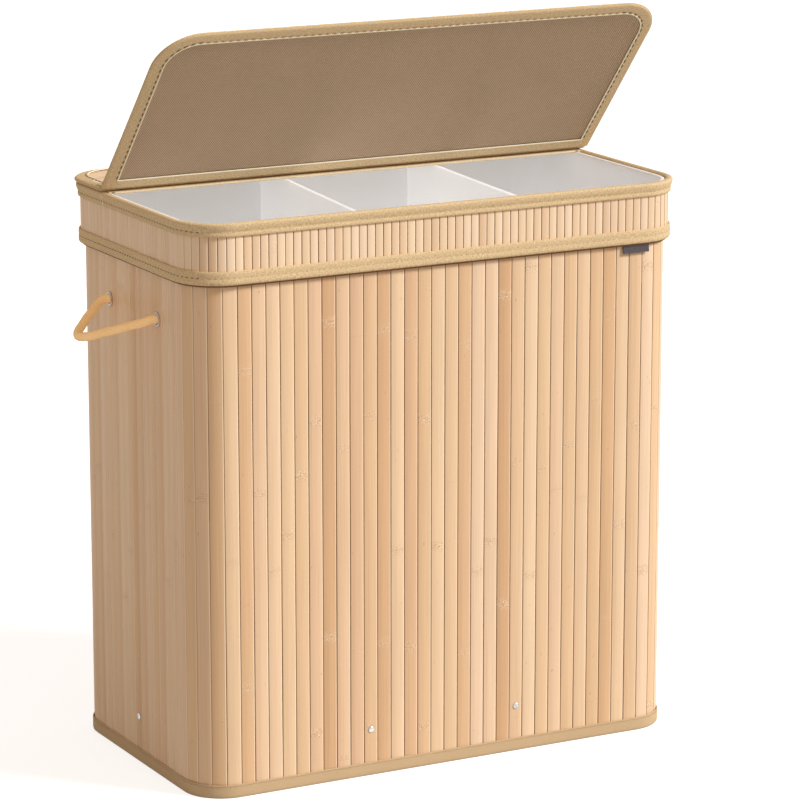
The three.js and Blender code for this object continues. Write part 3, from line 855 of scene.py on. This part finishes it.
hinge_joint = next(joint for joint in frame["joints"] if joint["name"] == "flap_hinge")
hinge = Vector(hinge_joint["pos_m"])
# The linen's palest colour, (255, 244, 214), goes only where a piece marks a painted highlight.
linen = cloth(
    "linen_tape", (244, 218, 173), (188, 157, 111), 0.0012, slub=1.25, depth=0.00006,
    woven_edge=(255, 244, 214), Roughness=0.85,
)
smooth_cotton = cloth("smooth_tape", (222, 193, 152), (200, 168, 126), 0.0006, Roughness=0.8)
backing_cloth = cloth("backing_cloth", (150, 112, 76), (128, 92, 60), 0.0008, Roughness=0.9)
back_with_cloth(body_backing, "hamper")


def lying(point):
    return (point.x, point.y)


def stitch(length, width):
    """One stitch, lying along X and standing a little out of the cloth towards -Y and +Z."""
    size = (length, width, width)
    made = new_piece("stitch", bpy.ops.mesh.primitive_ico_sphere_add, size, subdivisions=1, radius=0.5)
    cloth_map(made, lying)
    bpy.ops.object.shade_smooth()
    return made


def on_piece(tree):
    """The place on a piece, in its own coordinates."""
    return wire(tree, "ShaderNodeTexCoord").outputs["Object"]


def thread(name, shade):
    """Sewing thread: two plies laid round each other."""
    surface, tree = new_material(name, Roughness=0.7)
    plies = speckle(tree, on_piece(tree), 2600)
    darker = tuple(channel * 0.7 for channel in shade)
    return coated(surface, blend(tree, spread(tree, plies, 0.35, 0.65), darker, shade), plies, 0.0001)


def stitched_round(name, offset, height, pitch, length, width, body, surface, slant=0.0, where=None):
    """A row of stitches round the body at an offset and a height, or those of it that are wanted."""
    line = outline(offset)
    count = round(distances(line)[-1] / pitch / 2) * 2
    posts = walk(line, count)
    places = []
    for k in range(count):
        tilt = Matrix.Rotation(slant if k % 2 else -slant, 4, "Y")
        if where is None or where(posts[k]):
            places.append(on_chord(posts[k], posts[k + 1], height) @ tilt)
    finish(many(name, stitch(length, width), places), body, "linen_tape", surface)


# Tapes round the body.
# The lower edge is bound with a smooth cotton tape, zigzagged along its top. The upper edge has a
# thin linen tape that the collar hides.
bottom_section = mm(
    (0.3, 15.6), (1.0, 15.9), (1.35, 15.2), (1.3, 12.5), (1.45, 8.0), (1.45, 3.4), (1.1, 1.0), (0.2, 0.1),
    (-2.4, 0.0), (-3.3, 0.5), (-3.75, 1.6), (-3.75, 15.4), (-3.2, 15.9), (-2.8, 15.5), (-2.75, 1.1),
    (0.25, 1.0),
)
sewn_tape("body_bottom_tape", bottom_section, "hamper", "smooth_tape", smooth_cotton, "body_bottom_binding")
tan_thread = thread("tan_thread", (190, 158, 112))
dark_thread = thread("dark_thread", (122, 92, 54))
pale_thread = thread("pale_thread", (232, 206, 158))
stitched_round("body_bottom_stitches", 0.00135, 0.0137, 0.003, 0.0034, 0.0006, "hamper", tan_thread, 0.6)
top_section = mm(
    (0.3, 625.0), (0.9, 625.0), (0.95, 628), (0.95, 639.5), (0.5, 640.7), (-3.0, 640.9), (-3.4, 640.2),
    (-3.4, 625.2), (-2.85, 625.0), (-2.8, 640.25), (0.3, 640.25),
)
sewn_tape("body_top_tape", top_section, "hamper", "linen_tape", linen, "body_top_binding", amount=0.0)

# Floor board and its turned-up flaps.
# Stiff fibre board, riveted to the walls through the flaps. It stays as the CAD has it.


def fibre_board():
    surface, tree = new_material("fibre_board", Roughness=0.85)
    place = on_piece(tree)
    fibres = speckle(tree, place, (260, 700, 700), detail=4)
    tint = blend(tree, spread(tree, fibres, 0.3, 0.7), (134, 102, 66), (176, 142, 100))
    tint = blend(tree, spread(tree, speckle(tree, place, 9), 0.5, 0.8, 0, 0.3), tint, (120, 90, 58))
    return coated(surface, tint, fibres, 0.0003)


def dress(surface, *nodes):
    """Gives CAD nodes that keep their own shape a better material."""
    for node in nodes:
        paint_over(frame["nodes"][node], surface)


board = fibre_board()
dress(board, "floor_board", *[f"{wall}_floor_flap" for wall in (*ends, *sides)])

# Rivets and eyelets.
# Bright domed steel rivets hold the floor flaps, with a washer behind each. Flanged eyelets of
# dim, worn steel line the rope's holes, set into a ring inside the wall.
turned_steps = 32


def scratched_metal(name, shade, rough):
    surface, tree = new_material(name, Metallic=1.0)
    place = on_piece(tree)
    scratches = speckle(tree, place, (300, 300, 2200), detail=3)
    tint = blend(tree, spread(tree, speckle(tree, place, 240), 0.3, 0.8), shade, (168, 168, 166))
    rough = spread(tree, scratches, 0.3, 0.7, rough, rough + 0.15)
    return coated(surface, tint, scratches, 0.00002, Roughness=rough)


def emptied(name):
    """A piece with nothing in its mesh, which is open."""
    piece = new_piece(name, bpy.ops.mesh.primitive_plane_add, size=1)
    edit()
    bpy.ops.mesh.delete(type="VERT")
    return piece, bmesh.from_edit_mesh(piece.data)


def turned(name, profile, x, y, turn, height):
    """A (radius, out) profile spun round an axis, and set in the wall with its out side outwards."""
    piece, cage = emptied(name)
    points = [cage.verts.new((out, radius, 0)) for radius, out in profile]
    for pair in zip(points, points[1:]):
        cage.edges.new(pair)
    bmesh.update_edit_mesh(piece.data)
    take_all()
    bpy.ops.mesh.spin(steps=turned_steps, angle=2 * pi, center=(0, 0, 0), axis=(1, 0, 0))
    close_seams(1e-6)
    piece.data.transform(Matrix.Translation((x, y, height)) @ Matrix.Rotation(radians(turn), 4, "Z"))
    smooth(piece, 40)
    return piece


steel = scratched_metal("bright_steel", (225, 227, 230), 0.18)
worn_steel = scratched_metal("worn_steel", (176, 160, 148), 0.34)
rivet_profile = mm(
    (0, -10.3), (2.4, -10.3), (3.0, -9.9), (3.0, -8.6), (1.6, -8.6), (1.6, 0.3), (3.3, 0.3), (3.6, 0.45),
    (3.6, 0.75), (3.3, 1.05), (2.6, 1.4), (1.6, 1.62), (0.7, 1.7), (0, 1.72),
)
eyelet_profile = mm(
    (5.6, -4.1), (6.6, -4.1), (6.6, 0.3), (8.0, 0.3), (8.2, 0.45), (8.15, 0.75), (7.7, 1.1), (7.1, 1.3),
    (6.5, 1.35), (5.95, 1.2), (5.65, 0.8), (5.6, 0.2), (5.6, -4.1),
)
for spots, profile, height, surface, kind, node, behind in (
    (rivet_spots, rivet_profile, rivet_height, steel, "domed_rivet", "rivet", "rivet_washer"),
    (eyelet_spots, eyelet_profile, rope_height, worn_steel, "flanged_eyelet", "eyelet", "eyelet_ring"),
):
    for name, spot in spots.items():
        piece = turned(f"{name}_{kind}", profile, *spot, height)
        finish(piece, "hamper", "metal", surface, f"{name}_{node}")
        dress(surface, f"{name}_{behind}")

# Liner.
# One white cloth bag with a floor and two dividers, so it has three bins. Its hem folds over the
# body's rim, it hangs a little slack, and the rope's knots push it in.
liner_section = mm(
    (-10.2, 5.6), (-10.2, 30), (-10.2, 69), (-9.6, 110), (-8.9, 155), (-8.3, 200), (-7.7, 245), (-7.1, 290),
    (-6.6, 335), (-6.1, 380), (-5.6, 425), (-5.1, 470), (-4.9, 500), (-4.7, 515), (-4.6, 530), (-4.5, 545),
    (-4.3, 560), (-4.1, 585), (-3.8, 612), (-3.75, 641.4), (0.7, 641.6), (1.25, 642.4), (1.3, 646.6),
    (0.7, 648.5), (-0.8, 649.3), (-3.2, 649.3), (-4.6, 648.7), (-5.2, 647.2), (-5.2, 641), (-5.2, 628),
    (-4.9, 620), (-5.2, 612), (-5.5, 585), (-5.8, 560), (-6.0, 545), (-6.1, 530), (-6.2, 515), (-6.4, 500),
    (-6.7, 470), (-7.2, 425), (-7.7, 380), (-8.2, 335), (-8.7, 290), (-9.2, 245), (-9.7, 200), (-10.2, 155),
    (-10.8, 110), (-11.2, 69), (-11.2, 30), (-11.2, 5.6),
)
liner_slack = 0.0016
liner_tight_above = 0.612
liner_hem_from = 0.64
knot_push = 0.0165
knot_reach = 0.016
# The liner glows a little, the dividers more and the dividers' hems most: painted light that the lamps don't
# give the inside of the bag.
liner_painted_glow = 0.085
divider_painted_glow = 0.22
hem_painted_glow = 0.45
liner_floor_round = 0.016
liner_floor_ripple = 0.0012


def liner_cloth(name, glow):
    """Thin white cloth, with a glow of emission that is painted light: it lightens the cloth where the lamps
    leave it in shade.
    """
    shine = {"Emission_Color": white, "Emission_Strength": glow}
    return cloth(name, (248, 248, 248), (239, 239, 239), 0.0007, depth=0.00008, Roughness=0.85, **shine)


liner_white = liner_cloth("white_cloth", liner_painted_glow)
divider_white = liner_cloth("divider_cloth", divider_painted_glow)
hem_white = liner_cloth("divider_hem_cloth", hem_painted_glow)


def liner_slackness(point):
    """How far in the liner's wall is pushed at a point."""
    loose = held((liner_tight_above - point.z) / 0.12)
    push = liner_slack * loose * (0.5 + noise.noise(circling(point) * 3.2 + Vector((0, 0, point.z * 3))))
    for x, y, _ in eyelet_spots.values():
        if x * point.x > 0 and abs(abs(point.x) - body_width / 2) < 0.02:
            away = hypot(point.y - y, point.z - rope_height) / knot_reach
            push += knot_push * exp(-away * away)
    return push


liner_wall = swept_band("liner_bag", liner_section, straight_cuts=25)
for point in liner_wall.data.vertices:
    if point.co.z < liner_hem_from:
        point.co -= liner_slackness(point.co) * way_out(point.co)[1].normalized()
map_round(liner_wall)
smooth(liner_wall, 60)
finish(liner_wall, "hamper", "liner", liner_white, "liner_wall")
liner_height = half_girth(liner_section)

floor_low, floor_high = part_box("liner_floor")
flat_floor = (floor_high.x - floor_low.x, floor_high.y - floor_low.y)
liner_base = new_piece(
    "liner_base", bpy.ops.mesh.primitive_plane_add, (*flat_floor, 1), size=1, location=(0, 0, floor_low.z)
)


def from_edge(point):
    """How far in from the two nearest edges of the liner's floor a point lies."""
    return floor_high.x - abs(point.x), floor_high.y - abs(point.y)


edit()
bpy.ops.mesh.subdivide(number_cuts=15)
pick(liner_base, "verts", lambda point: max(from_edge(point.co)) < 1e-4)
bpy.ops.mesh.bevel(offset=liner_floor_round, affect="VERTICES", segments=4)
edit(False)
for point in liner_base.data.vertices:
    ripple = 0.5 + noise.noise(Vector((point.co.x * 14, point.co.y * 14, 3)))
    point.co.z += liner_floor_ripple * held(min(from_edge(point.co)) / 0.03) * ripple


def thicken(piece, thickness):
    choose(piece)
    wall = piece.modifiers.new("thickness", "SOLIDIFY")
    wall.thickness, wall.offset, wall.use_even_offset = thickness, 1, True
    bpy.ops.object.modifier_apply(modifier=wall.name)


thicken(liner_base, 0.0008)
cloth_map(liner_base, lying)
smooth(liner_base)
finish(liner_base, "hamper", "liner", liner_white, "liner_floor")

divider_sag = 0.0008
divider_bow = 0.0022
divider_thickness = 0.0016
divider_tight_above = 0.619
divider_loose_below = 0.069
divider_cuts = 27
divider_slants = {"left": 0.036, "right": 0.027}
hem_size = (0.0021, 0.0019)


def standing(point):
    return (point.y, point.z)


for name, way in sides.items():
    low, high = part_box("liner_divider_" + name)
    middle, size = (low + high) / 2, high - low
    divider = new_piece(name + "_divider", bpy.ops.mesh.primitive_plane_add, size=1, rotation=(0, pi / 2, 0))
    edit()
    bpy.ops.mesh.subdivide(number_cuts=divider_cuts)
    edit(False)
    for point in divider.data.vertices:
        across, rise = 2 * point.co.y, point.co.z + 0.5
        height = low.z + rise * size.z
        hang = held((divider_tight_above - height) / (divider_tight_above - divider_loose_below))
        slack = 1 - across**2
        loose = slack * (0.15 + 0.85 * hang)
        fold = noise.noise(Vector((across * 1.5, rise * 3.2, 4 * way)))
        askew = divider_slants[name] * (across + 1) / 2 * sin(pi / 2 * min(1, 1.4 * rise))
        bowed = middle.x + loose * (divider_bow * fold * 2.2 - 0.0012 * way) - divider_thickness / 2
        half = body_depth / 2 - 0.0055 - 0.006 * hang
        point.co = Vector((bowed + askew, across * half, height - divider_sag * slack * rise**6))
    thicken(divider, divider_thickness)
    finish(divider, "hamper", "liner", divider_white, "liner_divider_" + name)
    top = [point.co for point in divider.data.vertices if point.co.z > high.z - 0.0012]
    hem = block(name + "_divider_hem", (hem_size[0], max(p.y for p in top) * 2, hem_size[1]), (0, 0, 0))
    lengthways = lambda edge: edge.calc_length() > hem_size[1] * 2
    edit()
    round_edges(hem, lengthways, hem_size[0] / 3, 2)
    cut_edges(hem, lengthways, divider_cuts)
    edit(False)
    for point in hem.data.vertices:
        near = sorted(top, key=lambda spot: abs(spot.y - point.co.y))[:2]
        point.co += Vector(((near[0].x + near[1].x) / 2, 0, near[0].z - hem_size[1] / 2 + 0.0002))
    for piece in (divider, hem):
        cloth_map(piece, standing)
        smooth(piece, 60)
    finish(hem, "hamper", "liner", hem_white)

# Lid collar.
# A ring of narrow bamboo slats that slips over the body's rim, bound with linen tape at both edges.
# The upper tape's hem holds a wire hoop, which gives it its round bulge.
collar_offset = 0.0052
collar_slat_pitch = 0.010
collar_slat_inset = 0.002
collar_backing_thickness = 0.0004
backing_shadow_drop = 0.0034
collar_low, collar_high = (corner.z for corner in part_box("collar_mat"))
collar_slats, collar_pitch = slat_ring(
    "collar_slats", collar_offset, collar_slat_pitch, collar_low + collar_slat_inset,
    collar_high - collar_slat_inset, 2,
)
mark_ring(collar_slats, collar_offset, collar_pitch)
smooth(collar_slats)
# The narrow slats are drawn further towards a paler tint than the body's: painted light that offsets the
# shade the tapes and many gaps put on the collar.
narrow_bamboo = bamboo("narrow_bamboo", collar_pitch, 0.5, (246, 222, 190), 0.45)
finish(collar_slats, "lid_frame", "bamboo", narrow_bamboo, "collar_mat")
# The backing reaches below the lower tape, and its brown edge there stands for the contact shadow under the
# collar: a dark sheet as painted shade.
collar_back, backing_low = collar_offset + backing_offset, collar_low - backing_shadow_drop
collar_backing = upright_band(
    "collar_backing", collar_back, collar_backing_thickness, backing_low, collar_high
)
back_with_cloth(collar_backing, "lid_frame")

collar_low_section = mm(
    (5.4, 598.0), (6.5, 598.5), (7.2, 597.6), (7.4, 594.8), (7.25, 592.2), (7.0, 591.1), (7.0, 590.1),
    (7.2, 589.0), (7.5, 586.6), (7.3, 584.2), (6.4, 582.9), (4.4, 582.4), (2.2, 582.5), (1.0, 583.2),
    (0.8, 584.6), (1.7, 590.0), (1.75, 598.0), (2.3, 598.4), (2.7, 598.0), (2.7, 583.5), (5.4, 583.5),
)
hem_section = mm(
    (5.5, 636.2), (6.6, 635.8), (7.4, 636.4), (7.7, 638.0), (7.55, 640.2), (7.2, 641.1), (7.5, 642.0),
    (8.3, 643.4), (9.0, 645.4), (9.6, 648.0), (9.6, 649.4), (8.9, 650.6), (7.2, 651.3), (4.8, 651.4),
    (2.9, 651.1), (1.8, 650.3), (1.6, 646.0), (1.6, 640.0), (1.8, 636.0), (2.7, 636.1), (2.7, 650.5),
    (5.5, 650.5),
)
on_end_wall = lambda spot: abs(spot.x) > body_width / 2 - 0.008
for edge, section, offset, height in (
    ("bottom", collar_low_section, 0.0071, 0.5906),
    ("top", hem_section, 0.0073, 0.6411),
):
    tape, node = f"collar_{edge}_tape", f"collar_{edge}_binding"
    sewn_tape(tape, section, "lid_frame", "linen_tape", linen, node)
    # The end walls' stitches take the dark thread and the long walls' the pale one: one thread, with painted
    # shade on the shaded end walls and painted light on the lit long walls.
    for shown, where, width, surface in (
        ("side", on_end_wall, 0.0011, dark_thread),
        ("long", lambda spot: not on_end_wall(spot), 0.0007, pale_thread),
    ):
        name = f"collar_{edge}_{shown}_stitches"
        stitched_round(name, offset, height, 0.0068, 0.0044, width, "lid_frame", surface, where=where)
seam_width = 0.0018
seam_rise = 0.00035
outer_hem = hem_section[1:11]
seam_section = [(offset + seam_rise, height) for offset, height in outer_hem]
seam_section += [(offset - seam_rise, height) for offset, height in reversed(outer_hem)]
hem_seam = swept_band("hem_seam", seam_section, straight_cuts=60)
choose(hem_seam)
edit()
for edge_y, outer in ((hinge.y - seam_width, False), (hinge.y, True)):
    take_all()
    cut_off = {"clear_outer": outer, "clear_inner": not outer}
    bpy.ops.mesh.bisect(plane_co=(0, edge_y, 0), plane_no=(0, 1, 0), use_fill=True, **cut_off)
edit(False)
map_round(hem_seam)
# The seam gets part of the painted highlight, a paler colour standing for light on its ridge.
mark_painted_highlight(hem_seam, lambda point: 0.6)
smooth(hem_seam, 50)
finish(hem_seam, "lid_frame", "linen_tape", linen)
dress(scratched_metal("dull_steel", (150, 152, 155), 0.35), "collar_rim_wire")

# Woven tag.
# A short dark woven tape, folded double and sewn under the collar near the right-hand end. It is blank.
low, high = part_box("woven_tag")
middle, size = (low + high) / 2, high - low
tag = block("blank_tag", size, middle)
edit()
cut_edges(tag, lambda edge: upright(edge) or abs(edge.verts[0].co.x - edge.verts[1].co.x) > size.x / 2, 9)
face_outwards()
edit(False)
for point in tag.data.vertices:
    drop = (high.z - point.co.z) / size.z
    lift = 0.0007 * drop**2 + 0.0003 * drop * sin(point.co.x * 190)
    swell = 0.35 * (1 - min(1, 4 * (1 - drop))) if drop > 0.75 else 0
    point.co.y += (point.co.y - middle.y) * swell - lift
cloth_map(tag, lambda point: (point.x, point.z))
smooth(tag)
tag_weave = cloth("tag_weave", (84, 74, 78), (58, 50, 54), 0.0006, Roughness=0.6)
finish(tag, "lid_frame", "tag", tag_weave, "woven_tag")

# Rear strip of the lid.
# A stiff plate sewn on top of the collar's hem, behind the hinge: slats on top, board inside, checked
# lining under it, bound all round with linen tape. A folded edge runs under the hinge's gap.
plate_tape_width = 0.0160
plate_lip = 0.0019
plate_lip_rise = 0.0007
plate_round = 0.0029
plate_leg = 0.0007
plate_corner_steps = 12
plate_stitch_depth = 0.0128
plate_stitch_pitch = 0.009
plate_stitch_width = 0.0017
plate_stitch_rise = 0.0001
plate_overhang = 0.0016
plate_edge_drop = 0.0018
plate_lining_inset = 0.004
plate_lining_thickness = 0.0005
plate_slat_inset = 0.0125
plate_slat_pitch = 0.010
plate_slat_depth = 0.0015
strip_corner = 0.056
flap_corner = 0.051
flap_length = 0.2552
lining_squeeze = 1.2
lining_cloth = cloth(
    "checked_lining", (214, 185, 152), (143, 115, 84), 0.0031, pattern=0.8, slub=0.15, depth=0.0002,
    Roughness=0.8,
)
strip_low, strip_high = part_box("rear_strip_binding")
plate_half = strip_high.x + plate_overhang
strip_near, strip_far = strip_low.y, strip_high.y + plate_overhang
lining_low, slats_low = (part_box("rear_strip_" + layer)[0].z for layer in ("lining", "slats"))
flap_near = 2 * hinge.y - strip_near


def folded_place(point):
    return (point.x - point.z, point.y - point.z)


def way_in(point, near, far, radius):
    """How far inside a lid plate's outline a point lies."""
    to_side, to_near, to_far = plate_half - abs(point.x), abs(point.y - near), abs(far - point.y)
    if to_side < radius and to_far < radius:
        return radius - hypot(radius - to_side, radius - to_far)
    return min(to_side, to_near, to_far)


def plate_sheet(name, near, far, radius, inset, height):
    """A flat sheet in a lid plate's outline, drawn in by an inset. Its two far corners are round."""
    away = 1 if far > near else -1
    start, end = near + away * inset, far - away * inset
    scale = (2 * (plate_half - inset), abs(end - start), 1)
    place = (0, (start + end) / 2, height)
    sheet = new_piece(name, bpy.ops.mesh.primitive_plane_add, scale, size=1, location=place)
    edit()
    pick(sheet, "verts", lambda point: (point.co.y - (start + end) / 2) * away > 0)
    bpy.ops.mesh.bevel(offset=radius - inset, affect="VERTICES", segments=plate_corner_steps)
    take_all()
    return sheet


def plate_tape(name, near, far, radius):
    """The tape bound round a lid plate, with a raised folded lip along its inner edge."""
    low, high = strip_low.z, strip_high.z
    tape = plate_sheet(name, near, far, radius, 0, low)
    deep = lambda point: way_in(point, near, far, radius)
    bpy.ops.mesh.inset(thickness=plate_tape_width - plate_lip, depth=0)
    bpy.ops.mesh.inset(thickness=plate_lip, depth=0)
    bpy.ops.mesh.delete(type="FACE")
    take_all()
    bpy.ops.mesh.extrude_region_move(TRANSFORM_OT_translate={"value": (0, 0, high - low)})
    face_outwards()
    at_rim = lambda edge: not upright(edge) and all(deep(point.co) < 1e-4 for point in edge.verts)
    round_edges(tape, at_rim, plate_round, 4)

    def on_lip(face):
        from_lip = deep(face.calc_center_median()) - plate_tape_width + plate_lip / 2
        return abs(face.normal.z) > 0.9 and abs(from_lip) < plate_lip

    def on_inner_edge(face):
        middle = face.calc_center_median()
        half_way_up = abs(face.normal.z) < 0.1 and abs(middle.z - (low + high) / 2) < 1e-3
        return half_way_up and abs(deep(middle) - plate_tape_width) < 5e-4

    pick(tape, "faces", on_lip)
    bpy.ops.mesh.inset(thickness=plate_lip / 5, depth=plate_lip_rise)
    pick(tape, "faces", on_inner_edge)
    bpy.ops.mesh.inset(thickness=plate_leg, depth=plate_leg * 1.3 - plate_tape_width)
    edit(False)
    beyond_hinge = near + 10 * (near - far)
    for point in tape.data.vertices:
        spot = point.co
        edge = held(way_in(spot, beyond_hinge, far, radius) / plate_tape_width)
        from_hinge = min(1.0, abs(spot.y - near) / 0.04)
        if spot.z > (low + high) / 2:
            spot.z -= plate_edge_drop * from_hinge * (1 - edge) ** 2
    # The raised lip along the tape's inner edge gets the full painted highlight, a paler colour for the
    # light that catches it.
    mark_painted_highlight(tape, lambda point: deep(point) > plate_tape_width - plate_lip * 0.9)
    return tape


def plate_slats(name, near, far, radius):
    """Narrow slats across a lid plate, with their ends under the tape, and their grain marked."""
    away = 1 if far > near else -1
    run = abs(far - near) - 2 * plate_slat_inset
    step = run / round(run / plate_slat_pitch)
    middle_height = slats_low + plate_slat_depth / 2
    long_top = lambda edge: edge.calc_length() > step and all(p.co.z > middle_height for p in edge.verts)
    slats = []
    for k in range(round(run / plate_slat_pitch)):
        middle = near + away * (plate_slat_inset + (k + 0.5) * step)
        reach = plate_half - plate_slat_inset
        from_far = radius - abs(far - middle + away * step / 2)
        if from_far > 0:
            arm = radius - plate_slat_inset
            reach = plate_half - radius + sqrt(max(0.0, arm**2 - from_far**2))
        size = (2 * reach, step - slat_gap, plate_slat_depth)
        slat = block("slat", size, (0, middle, middle_height))
        edit()
        round_edges(slat, long_top, 0.0006, 2)
        edit(False)
        mark_grain(slat, lambda point: (point.y - middle, point.x, k + 400 * radius / 0.05))
        slats.append(slat)
    choose(*slats)
    bpy.ops.object.join()
    slats[0].name = name
    smooth(slats[0])
    return slats[0], step


def plate_stitches(name, near, far, radius, height, where, body, surface, place):
    """Stitches along a plate tape's inner edge on one face, where they are wanted."""
    away = 1 if far > near else -1
    arm = radius - plate_stitch_depth
    start, end = near + away * plate_tape_width, far - away * (plate_stitch_depth + arm)
    side, corner = plate_half - plate_stitch_depth, plate_half - plate_stitch_depth - arm
    angles = [pi / 2 * step / plate_corner_steps for step in range(plate_corner_steps + 1)]
    line = [Vector((side, start, 0))]
    line += [Vector((corner + arm * cos(angle), end + away * arm * sin(angle), 0)) for angle in angles]
    line += [Vector((-point.x, point.y, 0)) for point in reversed(line)]
    posts = walk(line, round(distances(line)[-1] / plate_stitch_pitch))
    pairs = [(start, stop) for start, stop in zip(posts, posts[1:]) if where(start + stop)]
    places = [place @ on_chord(start, stop, height) for start, stop in pairs]
    row = many(name, stitch(0.73 * plate_stitch_pitch, plate_stitch_width), places)
    finish(row, body, "linen_tape", surface)
    return row


def lid_plate(name, near, far, radius, body, place):
    """The tape, lining, slats and stitches of one lid plate, made flat and then put in place."""
    shape = (near, far, radius)
    tape = plate_tape(name + "_tape", *shape)
    sheet = plate_sheet(name + "_twill", *shape, plate_lining_inset, lining_low)
    edit(False)
    thicken(sheet, plate_lining_thickness)
    slats, step = plate_slats(name + "_bamboo", *shape)
    cloth_map(tape, folded_place)
    cloth_map(sheet, lambda point: (lining_squeeze * point.x, point.y))
    for piece in (tape, sheet):
        smooth(piece, 50)
    for piece in (tape, sheet, slats):
        piece.data.transform(place)
    plate_bamboo = bamboo(name + "_bamboo", step, 0.45, (232, 206, 168), 0.3)
    finish(tape, body, "linen_tape", linen, name + "_binding")
    finish(sheet, body, "lining", lining_cloth, name + "_lining")
    finish(slats, body, "bamboo", plate_bamboo, name + "_slats")
    on_top, below = strip_high.z + plate_stitch_rise, strip_low.z - plate_stitch_rise
    on_far_edge = lambda twice: abs(twice.x) <= 2 * (plate_half - radius)
    # Under the plate the side rows take the dark thread and the far row the tan one: one thread, with
    # painted shade at the sides and painted light along the far edge.
    stitches = [
        plate_stitches(f"{name}_{part}_stitches", *shape, height, where, body, surface, place)
        for part, height, where, surface in (
            ("top", on_top, lambda twice: True, tan_thread),
            ("side", below, lambda twice: not on_far_edge(twice), dark_thread),
            ("far", below, on_far_edge, tan_thread),
        )
    ]
    dress(board, name + "_core")


lid_plate("rear_strip", strip_near, strip_far, strip_corner, "lid_frame", Matrix.Identity(4))
fold_size = Vector((2 * (body_width / 2 + 0.0012), 0.0128, 0.0029))
fold_middle = Vector((0, hinge.y + 0.0016, strip_low.z - fold_size.z / 2))
fold_round = 0.0011
fold_slope = 0.0007
fold_sag = 0.0006
folded_edge = block("hinge_folded_edge", fold_size, fold_middle)
lengthways = lambda edge: edge.calc_length() > 0.1
edit()
round_edges(folded_edge, lengthways, fold_round, 3)
cut_edges(folded_edge, lengthways, 30)
edit(False)
for point in folded_edge.data.vertices:
    point.co.z += 0.0002 * noise.noise(Vector((point.co.x * 22, 0, 0)))
    if point.co.y < fold_middle.y and point.co.z > fold_middle.z:
        point.co.z -= fold_slope
    if point.co.z < fold_middle.z and abs(point.co.x) < body_width / 2 - 0.015:
        point.co.z -= fold_sag
cloth_map(folded_edge, folded_place)
# The folded edge gets a little of the painted highlight.
mark_painted_highlight(folded_edge, lambda point: 0.3)
smooth(folded_edge, 50)
finish(folded_edge, "lid_frame", "linen_tape", linen)
tack_spots = (
    (plate_half - 0.008, hinge.y + 0.004, strip_high.z + 0.0009),
    (fold_size.x / 2 - 0.005, fold_middle.y - fold_size.y / 2, fold_middle.z),
)
tack_places = [Matrix.Translation((side * x, y, z)) for x, y, z in tack_spots for side in (-1, 1)]
tacks = many("hinge_tacks", stitch(0.0055, 0.0013), tack_places)
finish(tacks, "lid_frame", "linen_tape", dark_thread)

# Lid flap.
# The same build as the rear strip, hinged to it along its near edge and turned up as far as it
# stands by itself.
flap_far = flap_near - flap_length - plate_overhang
lift = radians(-hinge_joint["range_deg"][0])
raised = Matrix.Translation(hinge) @ Matrix.Rotation(-lift, 4, "X") @ Matrix.Translation(-hinge)
lid_plate("flap", flap_near, flap_far, flap_corner, "lid_flap", raised)

# Hinge cloth.
# A linen strip glued and sewn over both plates along the hinge line, on their upper faces.
hinge_reach = 0.014
hinge_cloth_thickness = 0.0005
hinge_rows = [-1, -0.75, -0.5, -0.25, -0.12, -0.05, 0, 0.05, 0.12, 0.25, 0.5, 0.75, 1]
hinge_columns = 24
hinge_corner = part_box("hinge_cloth_rear_half")[1]
hinge_cloth, cage = emptied("hinge_cloth")
grid = []
for row in hinge_rows:
    grid.append([])
    for column in range(hinge_columns + 1):
        x = hinge_corner.x * (2 * column / hinge_columns - 1)
        point = Vector((x, hinge.y + row * hinge_reach, hinge_corner.z - hinge_cloth_thickness))
        grid[-1].append(cage.verts.new(raised @ point if row < 0 else point))
for low_row, high_row in zip(grid, grid[1:]):
    for k in range(hinge_columns):
        cage.faces.new((low_row[k], low_row[k + 1], high_row[k + 1], high_row[k]))
bmesh.update_edit_mesh(hinge_cloth.data)
edit(False)
cloth_map(hinge_cloth, lambda point: (point.x, point.y - point.z))
thicken(hinge_cloth, hinge_cloth_thickness)
smooth(hinge_cloth, 60)
finish(hinge_cloth, None, "linen_tape", linen, "hinge_cloth_rear_half", "hinge_cloth_flap_half")
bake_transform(hinge_cloth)
